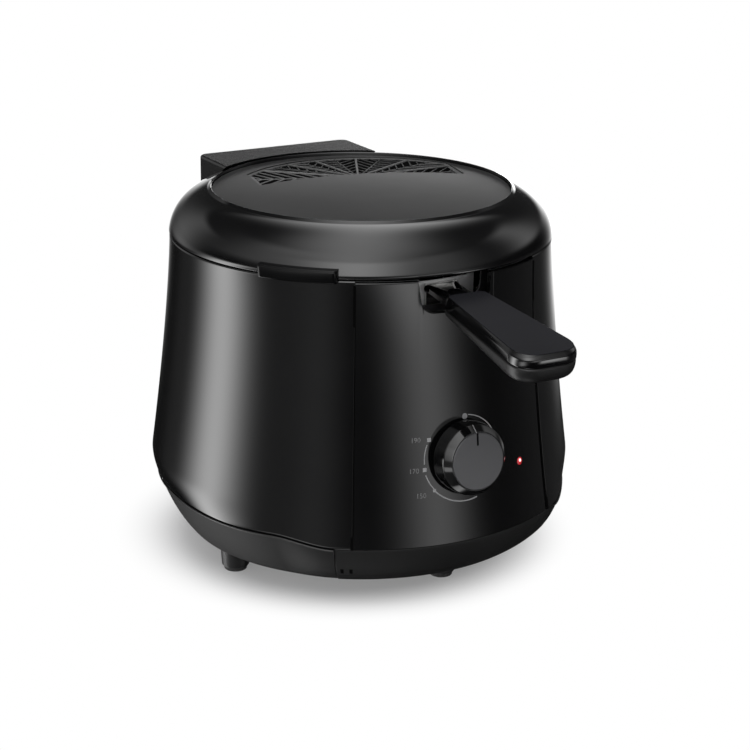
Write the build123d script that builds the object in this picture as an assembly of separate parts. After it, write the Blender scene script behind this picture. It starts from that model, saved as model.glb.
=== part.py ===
from build123d import *
import os
from math import cos, degrees, hypot, radians, sin

# Deep fryer in millimetres: +Z up, the front with the dial faces -Y, the pot's axis is vertical.
# Azimuths are in degrees from the front, positive towards +X.

# Body: a round shell that flares from the rim to the belly
rim_radius = 112.0
body_top_z = 193.7
belly_swell = 12.8
belly_radius = rim_radius + belly_swell
tuck_z = 48.5
belly_rise = 12.5
belly_z = tuck_z + belly_rise
flare_power = 1.4
tuck_depth = 3.4
dip_drop = 10.5
dip_z = tuck_z - dip_drop
dip_depth = 7.5
body_wall = 2.5
floor_ring_width = 29.4
floor_ring_inner = belly_radius - tuck_depth - floor_ring_width

# Base tray and feet
base_bottom_z = 16.0
base_draw = 14.4
base_floor_radius = belly_radius - tuck_depth - base_draw
base_wall = 2.5
base_bulge = 1.3
base_corner = 7.0
base_ledge = 10.0
air_slot_length = 28.0
air_slot_width = 4.0
air_slot_pitch = 9.0
air_slot_row = 30.0
air_slot_reach = 3
seam_gap = 0.4
side_foot_inset = 17.5
side_foot_radius = base_floor_radius - side_foot_inset
end_foot_inset = 31.0
end_foot_radius = base_floor_radius - end_foot_inset
side_foot_azimuth = -83.0
end_foot_azimuth = 11.0
foot_diameter = 18.0
foot_taper = 1.0
foot_round = 1.0
foot_spigot = 4.5
foot_pad_diameter = 13.6
foot_pad_thickness = 4.0
foot_pad_inset = 1.5
foot_pad_round = 0.8

# Seam between body and tray: level at the sides, dipping towards the front panel
seam_step_azimuth = 37.3
seam_step_run = 17.0
seam_step_drop = 9.0
seam_plane_radius = 80.0
seam_reach = 60.0

# Front panel with its skirt
panel_half_angle = 32.0
panel_stand = 0.3
panel_top_radius = rim_radius + panel_stand
crease_stand = 2.8
panel_crease_radius = belly_radius + crease_stand
crease_drop = 4.8
crease_round = 2.5
panel_crease_z = tuck_z - crease_drop
skirt_stand = 2.5
panel_skirt_radius = base_floor_radius + skirt_stand
skirt_lift = 2.5
panel_skirt_z = base_bottom_z + skirt_lift
skirt_bulge_out = 2.2
skirt_bulge_down = 2.0
skirt_trim = 0.2
panel_top_drop = 1.2
panel_wall = 3.0
panel_gap = 0.5
ledge_angle = 4.5
notch_width = 46.0
notch_depth = 19.5
notch_corner = 9.0
notch_reach_in = 16.0
dial_seat_inset = 1.0
panel_screw_margin = 25.0
panel_screw_turn = 2.2
panel_screw_cover = 1.0

# Oil pot, basket and what heats them
pot_inset = 14.0
pot_radius = rim_radius - pot_inset
pot_draft = 6.0
pot_floor_radius = pot_radius - pot_draft
flange_drop = 2.2
pot_flange_z = body_top_z - flange_drop
pot_rise = 26.5
pot_floor_z = tuck_z + pot_rise
pot_wall = 1.2
pot_corner = 12.0
flange_gap = 0.3
pot_flange_radius = rim_radius - body_wall - flange_gap
pot_ledge_reach = 6.0
pot_ledge_inner = pot_radius + pot_ledge_reach
pot_ledge_thickness = 2.5
clamp_inset = 17.0
clamp_radius = pot_floor_radius - clamp_inset
element_inset = 15.0
element_ring_radius = clamp_radius - element_inset
element_tube = 7.0
element_sweep = 320.0
terminal_turn = 2.0
terminal_diameter = 4.6
terminal_drop = 8.0
terminal_gap = 0.5
clamp_thickness = 1.5
clamp_hole_diameter = 18.0
clamp_hole_circle = 33.75
clamp_hole_count = 6
stud_diameter = 5.0
stud_reach = 6.0
nut_height = 4.0
nut_radius = 4.6
shield_lap = 6.0
shield_radius = floor_ring_inner + shield_lap
shield_thickness = 1.0
shield_slot_x = 24.0
shield_slot_y = 60.0
shield_slot_length = 24.0
shield_slot_width = 8.0
cutout_circle = 57.0
cutout_azimuth = 60.0
cutout_diameter = 17.0
cutout_height = 8.0
cutout_tab_width = 10.0
cutout_tab_thickness = 0.8
cutout_tab_length = 4.0
terminal_block_width = 42.0
terminal_block_y = 54.0
terminal_block_depth = 14.0
terminal_block_height = 12.0
terminal_pitch = 13.0
terminal_row = 3.0
terminal_hole = 4.4
terminal_hole_depth = 7.0
basket_clearance = 10.0
basket_radius = pot_radius - basket_clearance
basket_floor_radius = pot_floor_radius - basket_clearance
basket_rim_drop = 19.5
basket_top_z = pot_flange_z - basket_rim_drop
basket_wall = 1.4
basket_corner = 8.0
basket_wire = 4.0

# Handle on the basket
handle_drop = 15.2
handle_stand = 2.6
handle_droop = 7.5
handle_length = 91.0
handle_root_width = 26.0
handle_tip_width = 37.0
handle_root_thickness = 12.0
handle_tip_thickness = 16.5
handle_tip_corner = 12.0
handle_edge = 3.5
handle_seam = 0.3
bracket_width = 20.0
bracket_thickness = 2.5
bracket_drop = 26.0
bracket_reach = 52.0
handle_screw_near = 18.0
handle_screw_inset = 8.0
handle_screw_seat = 2.2
handle_screw_cover = 2.0

# Lid
lid_gap = 0.5
lid_edge_z = body_top_z + lid_gap
lid_height = 26.5
lid_top_z = lid_edge_z + lid_height
lid_stand = 0.2
lid_radius = rim_radius + lid_stand
lid_wall = 2.5
lid_edge_height = 2.3
lid_shoulder = ((4.6, 10.6), (13.6, 20.2))
lid_wall_shares = ((1.0, 0.4), (0.7, 0.8))
lid_top_share = 0.4
lid_top_slope = 0.55
lid_rim_drop = 0.4
lid_rim_round = 1.2
lid_rim_lap = 2.0
post_diameter = 9.0
lid_rim_inset = 20.5
lid_rim_outer = rim_radius - lid_rim_inset
lid_rim_width = 4.3
lid_rim_inner = lid_rim_outer - lid_rim_width
lid_seat_width = 5.2
lid_seat_inner = lid_rim_inner - lid_seat_width
disc_drop = 1.3
disc_thickness = 2.6
disc_gap = 0.2
disc_round = 0.5
vent_outer_inset = 2.5
vent_outer_radius = lid_seat_inner - vent_outer_inset
vent_end_inset = 12.5
vent_half_width = vent_outer_radius - vent_end_inset
vent_front_y = 17.0
vent_crown = 9.0
vent_corner = 5.0
vent_end_share = 1.5
grille_drop = 0.8
grille_thickness = 1.8
grille_border = 2.6
grille_bar = 1.3
grille_spine = 2.0
grille_spine_leans = (-63.0, -35.0, 0.0, 35.0, 63.0)
grille_bar_pitch = 5.2
grille_bar_lean = 38.0
grille_bar_count = 13
grille_bar_shift = 8.0
grille_reach = 100.0
filter_depth = 11.0
filter_wall = 1.2
filter_slot_length = 22.0
filter_slot_width = 3.5
filter_slot_pitch = 9.0
filter_slot_y = 52.0
filter_slot_reach = 6
liner_gap = 2.5
liner_radius = rim_radius - lid_wall - liner_gap
liner_rise = 2.8
liner_z = lid_edge_z + liner_rise
liner_thickness = 1.5
liner_screw_azimuths = (-135.0, -45.0, 45.0, 135.0)
liner_screw_inset = 16.0
liner_screw_radius = rim_radius - liner_screw_inset
liner_screw_length = 9.0
steam_hole = 5.0
steam_pitch_x = 10.0
steam_pitch_y = 12.0
steam_first_y = 38.0
steam_reach = 5
steam_rows = 3
seal_inset = 1.0
seal_outer = liner_radius - seal_inset
seal_width = 6.0
seal_inner = seal_outer - seal_width
seal_gap = 0.5
seal_round = 1.2
tab_from_azimuth = -58.0
tab_to_azimuth = -35.0
tab_reach = 5.0
tab_height = 9.1
tab_overhang = 3.2
tab_slope_height = 3.0
tab_top_reach = 0.8
tab_round = 1.5

# Lid hinge at the rear
cover_half_width = 52.0
cover_reach = 4.0
cover_rear_y = rim_radius + cover_reach
cover_lift = 1.0
cover_bottom_z = lid_edge_z + cover_lift
cover_stand = 0.3
cover_top_z = lid_top_z + cover_stand
cover_edge = 6.0
cover_top_round = 1.5
cover_skirt = 3.0
knuckle_radius = 5.5
swing_gap = 1.3
hinge_y = cover_rear_y + knuckle_radius + swing_gap
hinge_rise = 3.8
hinge_z = lid_edge_z + hinge_rise
pin_diameter = 5.0
pin_head_diameter = 7.4
pin_head_gap = 0.3
pin_head_length = 1.7
hinge_web = 5.2
hinge_web_root = 1.5
lug_inset = 8.5
lug_outer_x = cover_half_width - lug_inset
lug_width = 7.0
lug_inner_x = lug_outer_x - lug_width
hinge_side_gap = 0.6
plate_stand = 2.0
bracket_plate_y = cover_rear_y + plate_stand
plate_inset = 6.0
bracket_plate_half = cover_half_width - plate_inset
bracket_drop_z = 4.7
bracket_high_z = body_top_z - bracket_drop_z
bracket_height = 29.0
bracket_low_z = bracket_high_z - bracket_height
bracket_corner = 4.0
bracket_root_y = 80.0
lug_lift = 6.0
lug_gusset = 10.0
lug_block_lift = 8.0
hinge_screw_x = 22.0
hinge_screw_margin = 7.5
hinge_screw_length = 9.0

# Dial, thermostat and lamp
knob_rise = 17.0
knob_z = pot_floor_z + knob_rise
knob_skirt_diameter = 42.5
knob_shoulder_diameter = 38.5
knob_face_diameter = 33.0
knob_height = 18.0
knob_shoulder_height = 13.5
knob_lift = 1.2
knob_wall = 2.4
knob_cavity = 10.0
knob_hub_diameter = 12.0
knob_hub_lift = 3.2
knob_hub_cover = 2.0
knob_round = 0.9
knob_hollow_start = 0.7
knob_slot_inset = 1.0
knob_slot_gap = 0.2
knob_slot_length = 6.0
knob_slot_depth = 1.0
cap_diameter = 29.0
cap_thickness = 1.2
pointer_width = 1.4
pointer_length = 9.0
pointer_depth = 0.7
shaft_diameter = 6.0
shaft_root = 13.5
shaft_cover = 3.0
shaft_flat_depth = 0.8
shaft_flat_length = 8.0
bush_diameter = 10.0
bush_stand = 2.0
bush_bore_depth = 14.0
bush_nut_radius = 8.0
bush_nut_height = 1.8
capillary_diameter = 2.5
capillary_bend = 3.0
capillary_x = 8.0
capillary_reach = 8.0
thermostat_width = 30.0
thermostat_height = 28.0
thermostat_depth = 16.0
thermostat_standoff = 6.0
lamp_azimuth = 19.5
lamp_drop = 12.0
lamp_z = knob_z - lamp_drop
lamp_diameter = 5.0
lamp_holder_diameter = 9.0
lamp_holder_length = 11.0
lamp_stand = 0.9
lamp_round = 0.8
lamp_flange = 7.4
lamp_flange_thickness = 1.0
lamp_flange_gap = 0.4
lamp_root = 1.0
lamp_pin_x = 2.0
lamp_pin_width = 0.8
lamp_pin_depth = 3.0
lamp_pin_length = 4.5

# Fasteners, inlet and running fits
screw_diameter = 3.2
screw_head_diameter = 7.0
screw_head_height = 2.0
screw_head_round = 0.9
screw_slot_length = 4.2
screw_slot_width = 1.0
screw_slot_depth = 0.8
base_screw_length = 18.0
pillar_diameter = 9.0
pillar_inset = 23.4
pillar_radius = belly_radius - tuck_depth - pillar_inset
pillar_azimuths = (-123.0, -57.0, 57.0, 123.0)
inlet_diameter = 14.0
inlet_bore = 7.0
inlet_z = 34.0
inlet_root = 6.0
inlet_stand = 1.0
inlet_collar = 18.0
inlet_collar_lift = 0.3
inlet_collar_thickness = 3.0
inlet_collar_round = 1.0
seat_gap = 0.1
run_gap = 0.05
free_gap = 0.3
far = 170.0
tall = 300.0
through = 20.0
stand_up = (Align.CENTER, Align.CENTER, Align.MIN)

panel_screw_heights = (panel_crease_z + panel_screw_margin, body_top_z - panel_screw_margin)
panel_screw_azimuth = panel_half_angle - panel_screw_turn
hinge_screw_heights = (bracket_low_z + hinge_screw_margin, bracket_high_z - hinge_screw_margin)
hinge_screw_places = [(side * hinge_screw_x, z) for side in (-1, 1) for z in hinge_screw_heights]


def polar(radius, azimuth):
    """Plan position at a radius and an azimuth from the front."""
    return (radius * sin(radians(azimuth)), -radius * cos(radians(azimuth)))


def spin(*edges):
    """Solid of revolution about the pot's axis from a closed outline of radius and height."""
    return revolve(Plane.XZ * make_face(list(edges)), Axis.Z)


def ring(inner, outer, low, high):
    """Plain ring about the pot's axis."""
    solid = Pos(0, 0, low) * extrude(Circle(outer), high - low)
    return solid - Pos(0, 0, low - 1) * extrude(Circle(inner), high - low + 2)


def disc(radius, low, high, at=(0.0, 0.0)):
    """Upright cylinder between two heights."""
    return Pos(at[0], at[1], low) * extrude(Circle(radius), high - low)


def block(x, y, z):
    """Box from its low and high limits on each axis."""
    size = [limits[1] - limits[0] for limits in (x, y, z)]
    middle = [(limits[1] + limits[0]) / 2 for limits in (x, y, z)]
    return Pos(*middle) * Box(*size)


def wedge(start, end, low, high):
    """Upright sector of the plan between two azimuths."""
    middle = (start + end) / 2
    outline = Polyline((0, 0), polar(far, start), polar(far, middle), polar(far, end), close=True)
    return Pos(0, 0, low) * extrude(make_face(outline), high - low)


def cross_rod(radius, x_low, x_high, y, z):
    """Cylinder lying along X."""
    plane = Plane(origin=(x_low, y, z), x_dir=(0, 1, 0), z_dir=(1, 0, 0))
    return plane * extrude(Circle(radius), x_high - x_low)


def flare(z, top_radius, low_radius, low_z):
    """Radius of a flaring wall at a height."""
    fall = (body_top_z - z) / (body_top_z - low_z)
    return top_radius + (low_radius - top_radius) * max(fall, 0.0) ** flare_power


def screw(length):
    """Pan head screw with its head's underside at the origin and its shank along -Z."""
    head = extrude(Circle(screw_head_diameter / 2), screw_head_height)
    head = fillet(head.edges().group_by(Axis.Z)[-1], screw_head_round)
    groove = Box(screw_slot_length, screw_slot_width, 2 * screw_slot_depth)
    slot = Pos(0, 0, screw_head_height) * (groove + Rot(0, 0, 90) * groove)
    return head - slot + Pos(0, 0, -length) * extrude(Circle(screw_diameter / 2), length)


def body_form(inset):
    """Filled form of the body, drawn in by an inset."""
    steps = 5
    heights = [belly_z + (body_top_z - belly_z) * step / steps for step in range(steps + 1)]
    wall = [(flare(z, rim_radius, belly_radius, belly_z) - inset, z) for z in heights]
    foot = (belly_radius - dip_depth - inset, dip_z)
    side = Spline(foot, (belly_radius - tuck_depth - inset, tuck_z), *wall)
    rest = Polyline(wall[-1], (0, body_top_z), (0, dip_z), foot)
    return spin(side, *rest.edges())


def seam_space(drop):
    """Everything below the seam between body and tray, lowered by a drop."""
    space = disc(far, 0, tuck_z)
    half_run = seam_step_run / 2
    low = tuck_z - seam_step_drop
    for side in (-1, 1):
        x, y = polar(1.0, side * seam_step_azimuth)
        at = (seam_plane_radius * x, seam_plane_radius * y, 0)
        plane = Plane(origin=at, x_dir=(y * side, -x * side, 0), z_dir=(x, y, 0))
        curve = Spline((-half_run, tuck_z), (half_run, low), tangents=((1, 0), (1, 0)))
        outside = ((seam_reach, low), (seam_reach, belly_z), (-half_run, belly_z))
        edge = Polyline((half_run, low), *outside, (-half_run, tuck_z))
        region = plane * make_face([curve, *edge.edges()])
        space -= extrude(region, far - seam_plane_radius)
    return Pos(0, 0, -drop) * space


def notch_space():
    """Slot in the front edge that the basket's handle passes through."""
    low = lid_edge_z - notch_depth
    outline = Pos(0, low + notch_depth) * Rectangle(notch_width, 2 * notch_depth)
    outline = fillet(outline.vertices().group_by(Axis.Y)[0], notch_corner)
    return extrude(Plane.XZ.offset(pot_floor_radius - notch_reach_in) * outline, far)


def make_base_tray():
    """Bowl that closes the bottom and carries the body's floor ring."""
    top = belly_radius - tuck_depth
    middle_z = (base_bottom_z + tuck_z) / 2
    middle = (base_floor_radius + top) / 2 + base_bulge

    def bowl(inset):
        low = (base_floor_radius - inset, base_bottom_z)
        high = (top - inset, tuck_z)
        side = ThreePointArc(low, (middle - inset, middle_z), high)
        rest = Polyline(high, (0, tuck_z), (0, base_bottom_z), low)
        return spin(side, *rest.edges())

    outer = bowl(0)
    outer = fillet(outer.edges().group_by(Axis.Z)[0], base_corner)
    inner = bowl(base_wall) - disc(far, 0, base_bottom_z + base_wall)
    tray = outer - inner
    tray += ring(top - base_ledge, top - base_wall / 2, tuck_z - base_wall, tuck_z) & outer
    tray &= seam_space(seam_gap)
    tray += ring(top - base_ledge, top - base_wall, tuck_z - base_wall, tuck_z) & seam_space(0)
    tray -= panel_space(panel_gap)
    for azimuth in pillar_azimuths:
        tray -= disc(screw_diameter / 2 + free_gap, 0, tuck_z, polar(pillar_radius, azimuth))
    air_slot = extrude(SlotOverall(air_slot_length, air_slot_width, 90), through, both=True)
    for row in (-1, 1):
        for column in range(-air_slot_reach, air_slot_reach + 1):
            tray -= Pos(column * air_slot_pitch, row * air_slot_row, 0) * air_slot
    for place in foot_places():
        tray -= disc(screw_diameter / 2 + seat_gap, 0, tuck_z, place)
    tray -= inlet_plane() * extrude(Circle(inlet_diameter / 2 + seat_gap), through, both=True)
    return tray


def foot_places():
    """Plan positions of the four feet: a pair at the sides and a pair at the ends."""
    places = []
    for half_turn in (0, 180):
        places.append(polar(side_foot_radius, side_foot_azimuth + half_turn))
        places.append(polar(end_foot_radius, end_foot_azimuth + half_turn))
    return places


def make_feet():
    """Four pegs under the tray, each with a recess for its pad."""
    pegs = []
    low = foot_pad_thickness - foot_pad_inset
    for at in foot_places():
        wide = foot_diameter / 2
        taper = Cone(wide - foot_taper, wide, base_bottom_z - low, align=stand_up)
        peg = Pos(at[0], at[1], low) * taper
        peg = fillet(peg.edges().group_by(Axis.Z)[0], foot_round)
        peg -= disc(foot_pad_diameter / 2 + seat_gap, 0, foot_pad_thickness, at)
        peg += disc(screw_diameter / 2, base_bottom_z, base_bottom_z + foot_spigot, at)
        pegs.append(peg)
    return Compound(pegs)


def make_foot_pads():
    """Rubber pads that the fryer stands on."""
    pads = []
    for place in foot_places():
        pad = disc(foot_pad_diameter / 2, 0, foot_pad_thickness, place)
        pads.append(fillet(pad.edges().group_by(Axis.Z)[0], foot_pad_round))
    return Compound(pads)


def make_body_shell():
    """Round wall with a floor ring, screw pillars, the pot's ledge and the panel's side ledges."""
    shell = body_form(0) - body_form(body_wall)
    shell -= seam_space(0)
    shell -= wedge(-panel_half_angle, panel_half_angle, 0, tall)
    inside = body_form(body_wall / 2)
    floor_ring = ring(floor_ring_inner, far, tuck_z, tuck_z + body_wall) & inside
    floor_ring -= panel_space(panel_gap)
    low = pot_flange_z - pot_ledge_thickness
    ledge = ring(pot_ledge_inner, rim_radius - body_wall / 2, low, pot_flange_z) - panel_space(panel_gap)
    shell += [floor_ring, ledge - notch_space()]
    for side in (-1, 1):
        edges = sorted((side * (panel_half_angle - ledge_angle), side * (panel_half_angle + ledge_angle)))
        strip = panel_form(panel_wall + seat_gap) - panel_form(panel_wall + seat_gap + body_wall)
        shell += strip & wedge(*edges, belly_z, pot_flange_z - seat_gap)
    for azimuth in pillar_azimuths:
        at = polar(pillar_radius, azimuth)
        shell += disc(pillar_diameter / 2, base_bottom_z + base_wall, tuck_z + body_wall, at)
        shell -= disc(screw_diameter / 2 + run_gap, base_bottom_z, tuck_z, at)
    for z in panel_screw_heights:
        for side in (-1, 1):
            hole = extrude(Circle(screw_diameter / 2 + free_gap), through, both=True)
            shell -= panel_normal(side * panel_screw_azimuth, z) * hole
    for x, z in hinge_screw_places:
        shell -= rear_plane(x, 0, z) * extrude(Circle(screw_diameter / 2 + run_gap), far)
    return shell


def rear_plane(x, y, z):
    """Upright plane that faces the rear."""
    return Plane((x, y, z), x_dir=(1, 0, 0), z_dir=(0, 1, 0))


def panel_form(inset):
    """Filled form that the front panel and its skirt follow, drawn in by an inset."""
    steps = 6
    high = body_top_z - panel_top_drop
    heights = [panel_crease_z + (high - panel_crease_z) * step / steps for step in range(steps + 1)]
    wall = [(flare(z, panel_top_radius, panel_crease_radius, panel_crease_z) - inset, z) for z in heights]
    face = Spline(*wall)
    bulge = (
        (panel_crease_radius + panel_skirt_radius) / 2 + skirt_bulge_out - inset,
        (panel_crease_z + panel_skirt_z) / 2 - skirt_bulge_down,
    )
    skirt = ThreePointArc((panel_skirt_radius - inset, panel_skirt_z), bulge, wall[0])
    rest = Polyline(wall[-1], (0, high), (0, panel_skirt_z), (panel_skirt_radius - inset, panel_skirt_z))
    return spin(skirt, face, *rest.edges())


def panel_space(gap):
    """Room that the front panel takes up, with a gap round it."""
    swing = degrees(gap / panel_crease_radius)
    inset = panel_wall + gap
    space = disc(far, 0, tall) - panel_form(inset) - disc(panel_skirt_radius - inset, 0, panel_crease_z)
    return space & wedge(-panel_half_angle - swing, panel_half_angle + swing, 0, tall)


def panel_radius(z):
    """Outer radius of the front panel at a height."""
    return flare(z, panel_top_radius, panel_crease_radius, panel_crease_z)


def panel_slope(z):
    """Angle in degrees by which the panel leans back at a height."""
    return degrees((panel_radius(z - 1) - panel_radius(z + 1)) / 2)


def panel_normal(azimuth, z):
    """Plane on the panel's face with its Z axis pointing straight out."""
    x, y = polar(1.0, azimuth)
    lean = radians(panel_slope(z))
    out = (x * cos(lean), y * cos(lean), sin(lean))
    radius = panel_radius(z)
    return Plane(origin=(radius * x, radius * y, z), x_dir=(-y, x, 0), z_dir=out)


def make_front_panel():
    """Control panel with its skirt, dial hole, lamp hole and handle notch."""
    angle = panel_half_angle - degrees(panel_gap / panel_crease_radius)
    form = panel_form(0)
    crease = [edge for edge in form.edges() if abs(edge.center().Z - panel_crease_z) < panel_gap]
    form = fillet(crease, crease_round)
    panel = (form - panel_form(panel_wall)) & wedge(-angle, angle, panel_skirt_z + skirt_trim, tall)
    panel -= notch_space()
    dial_hole = dial_plane() * extrude(Circle(bush_diameter / 2 + seat_gap), through, both=True)
    panel -= dial_hole
    lamp = panel_normal(lamp_azimuth, lamp_z)
    panel -= lamp * extrude(Circle(lamp_diameter / 2 + seat_gap), through, both=True)
    seat = dial_plane() * extrude(Circle(bush_diameter), -thermostat_standoff)
    panel += (seat - dial_hole) & panel_form(dial_seat_inset)
    hole = Pos(0, 0, -panel_screw_cover) * extrude(Circle(screw_diameter / 2 + run_gap), -panel_wall)
    for z in panel_screw_heights:
        for side in (-1, 1):
            panel -= panel_normal(side * panel_screw_azimuth, z) * hole
    return panel


def make_panel_screws():
    """Screws from inside through the side ledges into the panel."""
    screws = []
    for z in panel_screw_heights:
        for side in (-1, 1):
            plane = panel_normal(side * panel_screw_azimuth, z)
            depth = panel_wall + seat_gap + body_wall + seat_gap
            seat = plane * Pos(0, 0, -depth) * Rot(180, 0, 0)
            screws.append(seat * screw(depth - panel_screw_cover - seat_gap))
    return Compound(screws)


def make_base_screws():
    """Screws from below through the tray into the body's pillars."""
    return Compound(
        [
            Pos(*polar(pillar_radius, azimuth), base_bottom_z) * Rot(180, 0, 0) * screw(base_screw_length)
            for azimuth in pillar_azimuths
        ]
    )


def pot_outline(inset):
    """Filled form of the pot below its flange, drawn in by an inset."""
    low = pot_floor_z + inset
    outer = pot_floor_radius + pot_wall - inset
    top = pot_radius + pot_wall - inset
    floor = low - pot_wall
    high = pot_flange_z + pot_wall
    outline = Polyline((0, floor), (outer, floor), (top, high), (0, high), close=True)
    solid = spin(*outline.edges())
    return fillet(solid.edges().group_by(Axis.Z)[0], pot_corner - inset)


def make_oil_pot():
    """Oil pot with a flange that hangs on the body's ledge and a stud under its floor."""
    flange = ring(pot_radius, pot_flange_radius, pot_flange_z, pot_flange_z + pot_wall)
    pot = pot_outline(0) + flange - pot_outline(pot_wall)
    pot -= disc(pot_radius, pot_flange_z, tall)
    pot -= notch_space()
    stud = disc(stud_diameter / 2, clamp_low_z() - stud_reach, pot_floor_z - pot_wall / 2)
    return pot + stud


def clamp_low_z():
    """Underside of the plate that holds the element against the pot."""
    return pot_floor_z - pot_wall - element_tube - 2 * seat_gap - clamp_thickness


def make_heating_element():
    """Tubular element: most of a ring under the pot, with two terminals down."""
    z = pot_floor_z - pot_wall - seat_gap - element_tube / 2
    gap = (360 - element_sweep) / 2
    section = Plane.XZ * Pos(element_ring_radius, z) * Circle(element_tube / 2)
    element = Rot(0, 0, 90 + gap) * revolve(section, Axis.Z, element_sweep)
    for at in terminal_places():
        element += disc(terminal_diameter / 2, clamp_low_z() - terminal_drop, z, at)
    return element


def terminal_places():
    """Plan positions of the element's two terminals, at the rear."""
    turn = (360 - element_sweep) / 2 + terminal_turn
    return [polar(element_ring_radius, 180 + side * turn) for side in (-1, 1)]


def make_element_clamp():
    """Pressed plate that the stud's nut pulls up against the element."""
    plate = disc(clamp_radius, clamp_low_z(), clamp_low_z() + clamp_thickness)
    plate -= disc(stud_diameter / 2 + seat_gap, 0, tall)
    for at in terminal_places():
        plate -= disc(element_tube / 2 + terminal_gap, 0, tall, at)
    for step in range(clamp_hole_count):
        at = polar(clamp_hole_circle, step * 360 / clamp_hole_count)
        plate -= disc(clamp_hole_diameter / 2, 0, tall, at)
    return plate


def make_clamp_nut():
    """Hexagon nut under the clamp plate."""
    nut = Pos(0, 0, clamp_low_z() - nut_height) * extrude(RegularPolygon(nut_radius, 6), nut_height)
    return nut - disc(stud_diameter / 2 + run_gap, 0, tall)


def make_heat_shield():
    """Thin plate on the body's floor ring that keeps heat off the tray."""
    low = tuck_z + body_wall
    shield = disc(shield_radius, low, low + shield_thickness)
    slot = extrude(SlotOverall(shield_slot_length, shield_slot_width), through, both=True)
    for x in (-shield_slot_x, shield_slot_x):
        shield -= Pos(x, shield_slot_y, low) * slot
    return shield


def make_thermal_cutout():
    """Safety cut-out bolted under the clamp plate."""
    at = polar(cutout_circle, cutout_azimuth)
    low = clamp_low_z() - cutout_height
    body = disc(cutout_diameter / 2, low, clamp_low_z(), at)
    tabs = Box(cutout_tab_width, cutout_tab_thickness, 2 * cutout_tab_length)
    return body + Pos(at[0], at[1], low) * tabs


def make_terminal_block():
    """Terminal block on the tray's floor, behind the element."""
    low = base_bottom_z + base_wall
    high = low + terminal_block_height
    size = (terminal_block_width, terminal_block_depth, terminal_block_height)
    body = Pos(0, terminal_block_y, low + terminal_block_height / 2) * Box(*size)
    for column in (-1, 0, 1):
        for row in (-1, 1):
            at = (column * terminal_pitch, terminal_block_y + row * terminal_row)
            body -= disc(terminal_hole / 2, high - terminal_hole_depth, high, at)
    return body


def inlet_plane():
    """Plane on the tray's rear wall where the supply lead goes in, facing out."""
    lean = (belly_radius - tuck_depth - base_floor_radius) / (tuck_z - base_bottom_z)
    y = base_floor_radius + lean * (inlet_z - base_bottom_z) + base_bulge
    length = hypot(1, lean)
    return Plane(origin=(0, y, inlet_z), x_dir=(-1, 0, 0), z_dir=(0, 1 / length, -lean / length))


def make_cord_inlet():
    """Rubber inlet bush in the tray's rear wall."""
    plane = inlet_plane()
    bush = plane * Pos(0, 0, -inlet_root) * extrude(Circle(inlet_diameter / 2), inlet_root + inlet_stand)
    collar = plane * Pos(0, 0, inlet_collar_lift) * extrude(Circle(inlet_collar / 2), inlet_collar_thickness)
    collar = fillet(collar.edges().sort_by(Axis.Y)[-1], inlet_collar_round)
    return bush + collar - plane * extrude(Circle(inlet_bore / 2), through, both=True)


def dial_plane():
    """Plane of the dial, its Z axis along the shaft and pointing out."""
    return panel_normal(0, knob_z)


def make_thermostat():
    """Adjustable thermostat with its threaded bush through the panel."""
    plane = dial_plane()
    back = -thermostat_standoff - thermostat_depth
    case = Box(thermostat_width, thermostat_height, thermostat_depth)
    body = Pos(0, 0, back + thermostat_depth / 2) * case
    body += Pos(0, 0, back) * extrude(Circle(bush_diameter / 2), bush_stand - back)
    bore = extrude(Circle(shaft_diameter / 2 + run_gap), bush_bore_depth + bush_stand)
    body -= Pos(0, 0, -bush_bore_depth) * bore
    return plane * body


def make_thermostat_nut():
    """Thin nut that pulls the thermostat's bush against the panel."""
    nut = Pos(0, 0, seat_gap) * extrude(RegularPolygon(bush_nut_radius, 6), bush_nut_height)
    return dial_plane() * (nut - extrude(Circle(bush_diameter / 2 + run_gap), through, both=True))


def make_thermostat_shaft():
    """Shaft with a flat that turns with the knob."""
    reach = shaft_reach()
    shaft = Pos(0, 0, -shaft_root) * extrude(Circle(shaft_diameter / 2), reach + shaft_root)
    cut = Box(shaft_diameter, 2 * shaft_flat_depth, shaft_flat_length)
    flat = Pos(0, shaft_diameter / 2, reach - shaft_flat_length / 2) * cut
    return dial_plane() * (shaft - flat)


def shaft_reach():
    """How far the shaft stands out of the panel, inside the knob."""
    return knob_height - cap_thickness - shaft_cover


def make_capillary():
    """Thin sensing tube from the thermostat to the underside of the pot."""
    radius = capillary_diameter / 2
    z = pot_floor_z - pot_wall - radius - seat_gap
    middle = -thermostat_standoff - thermostat_depth / 2
    foot = dial_plane().from_local_coords(Vector(capillary_x, -thermostat_height / 2 - 2 * seat_gap, middle))
    end = (foot.X, -element_ring_radius - capillary_reach, z)
    path = FilletPolyline((foot.X, foot.Y, foot.Z), (foot.X, foot.Y, z), end, radius=capillary_bend)
    start = Plane(origin=path @ 0, z_dir=path % 0)
    return sweep(start * Circle(radius), path=path)


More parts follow.
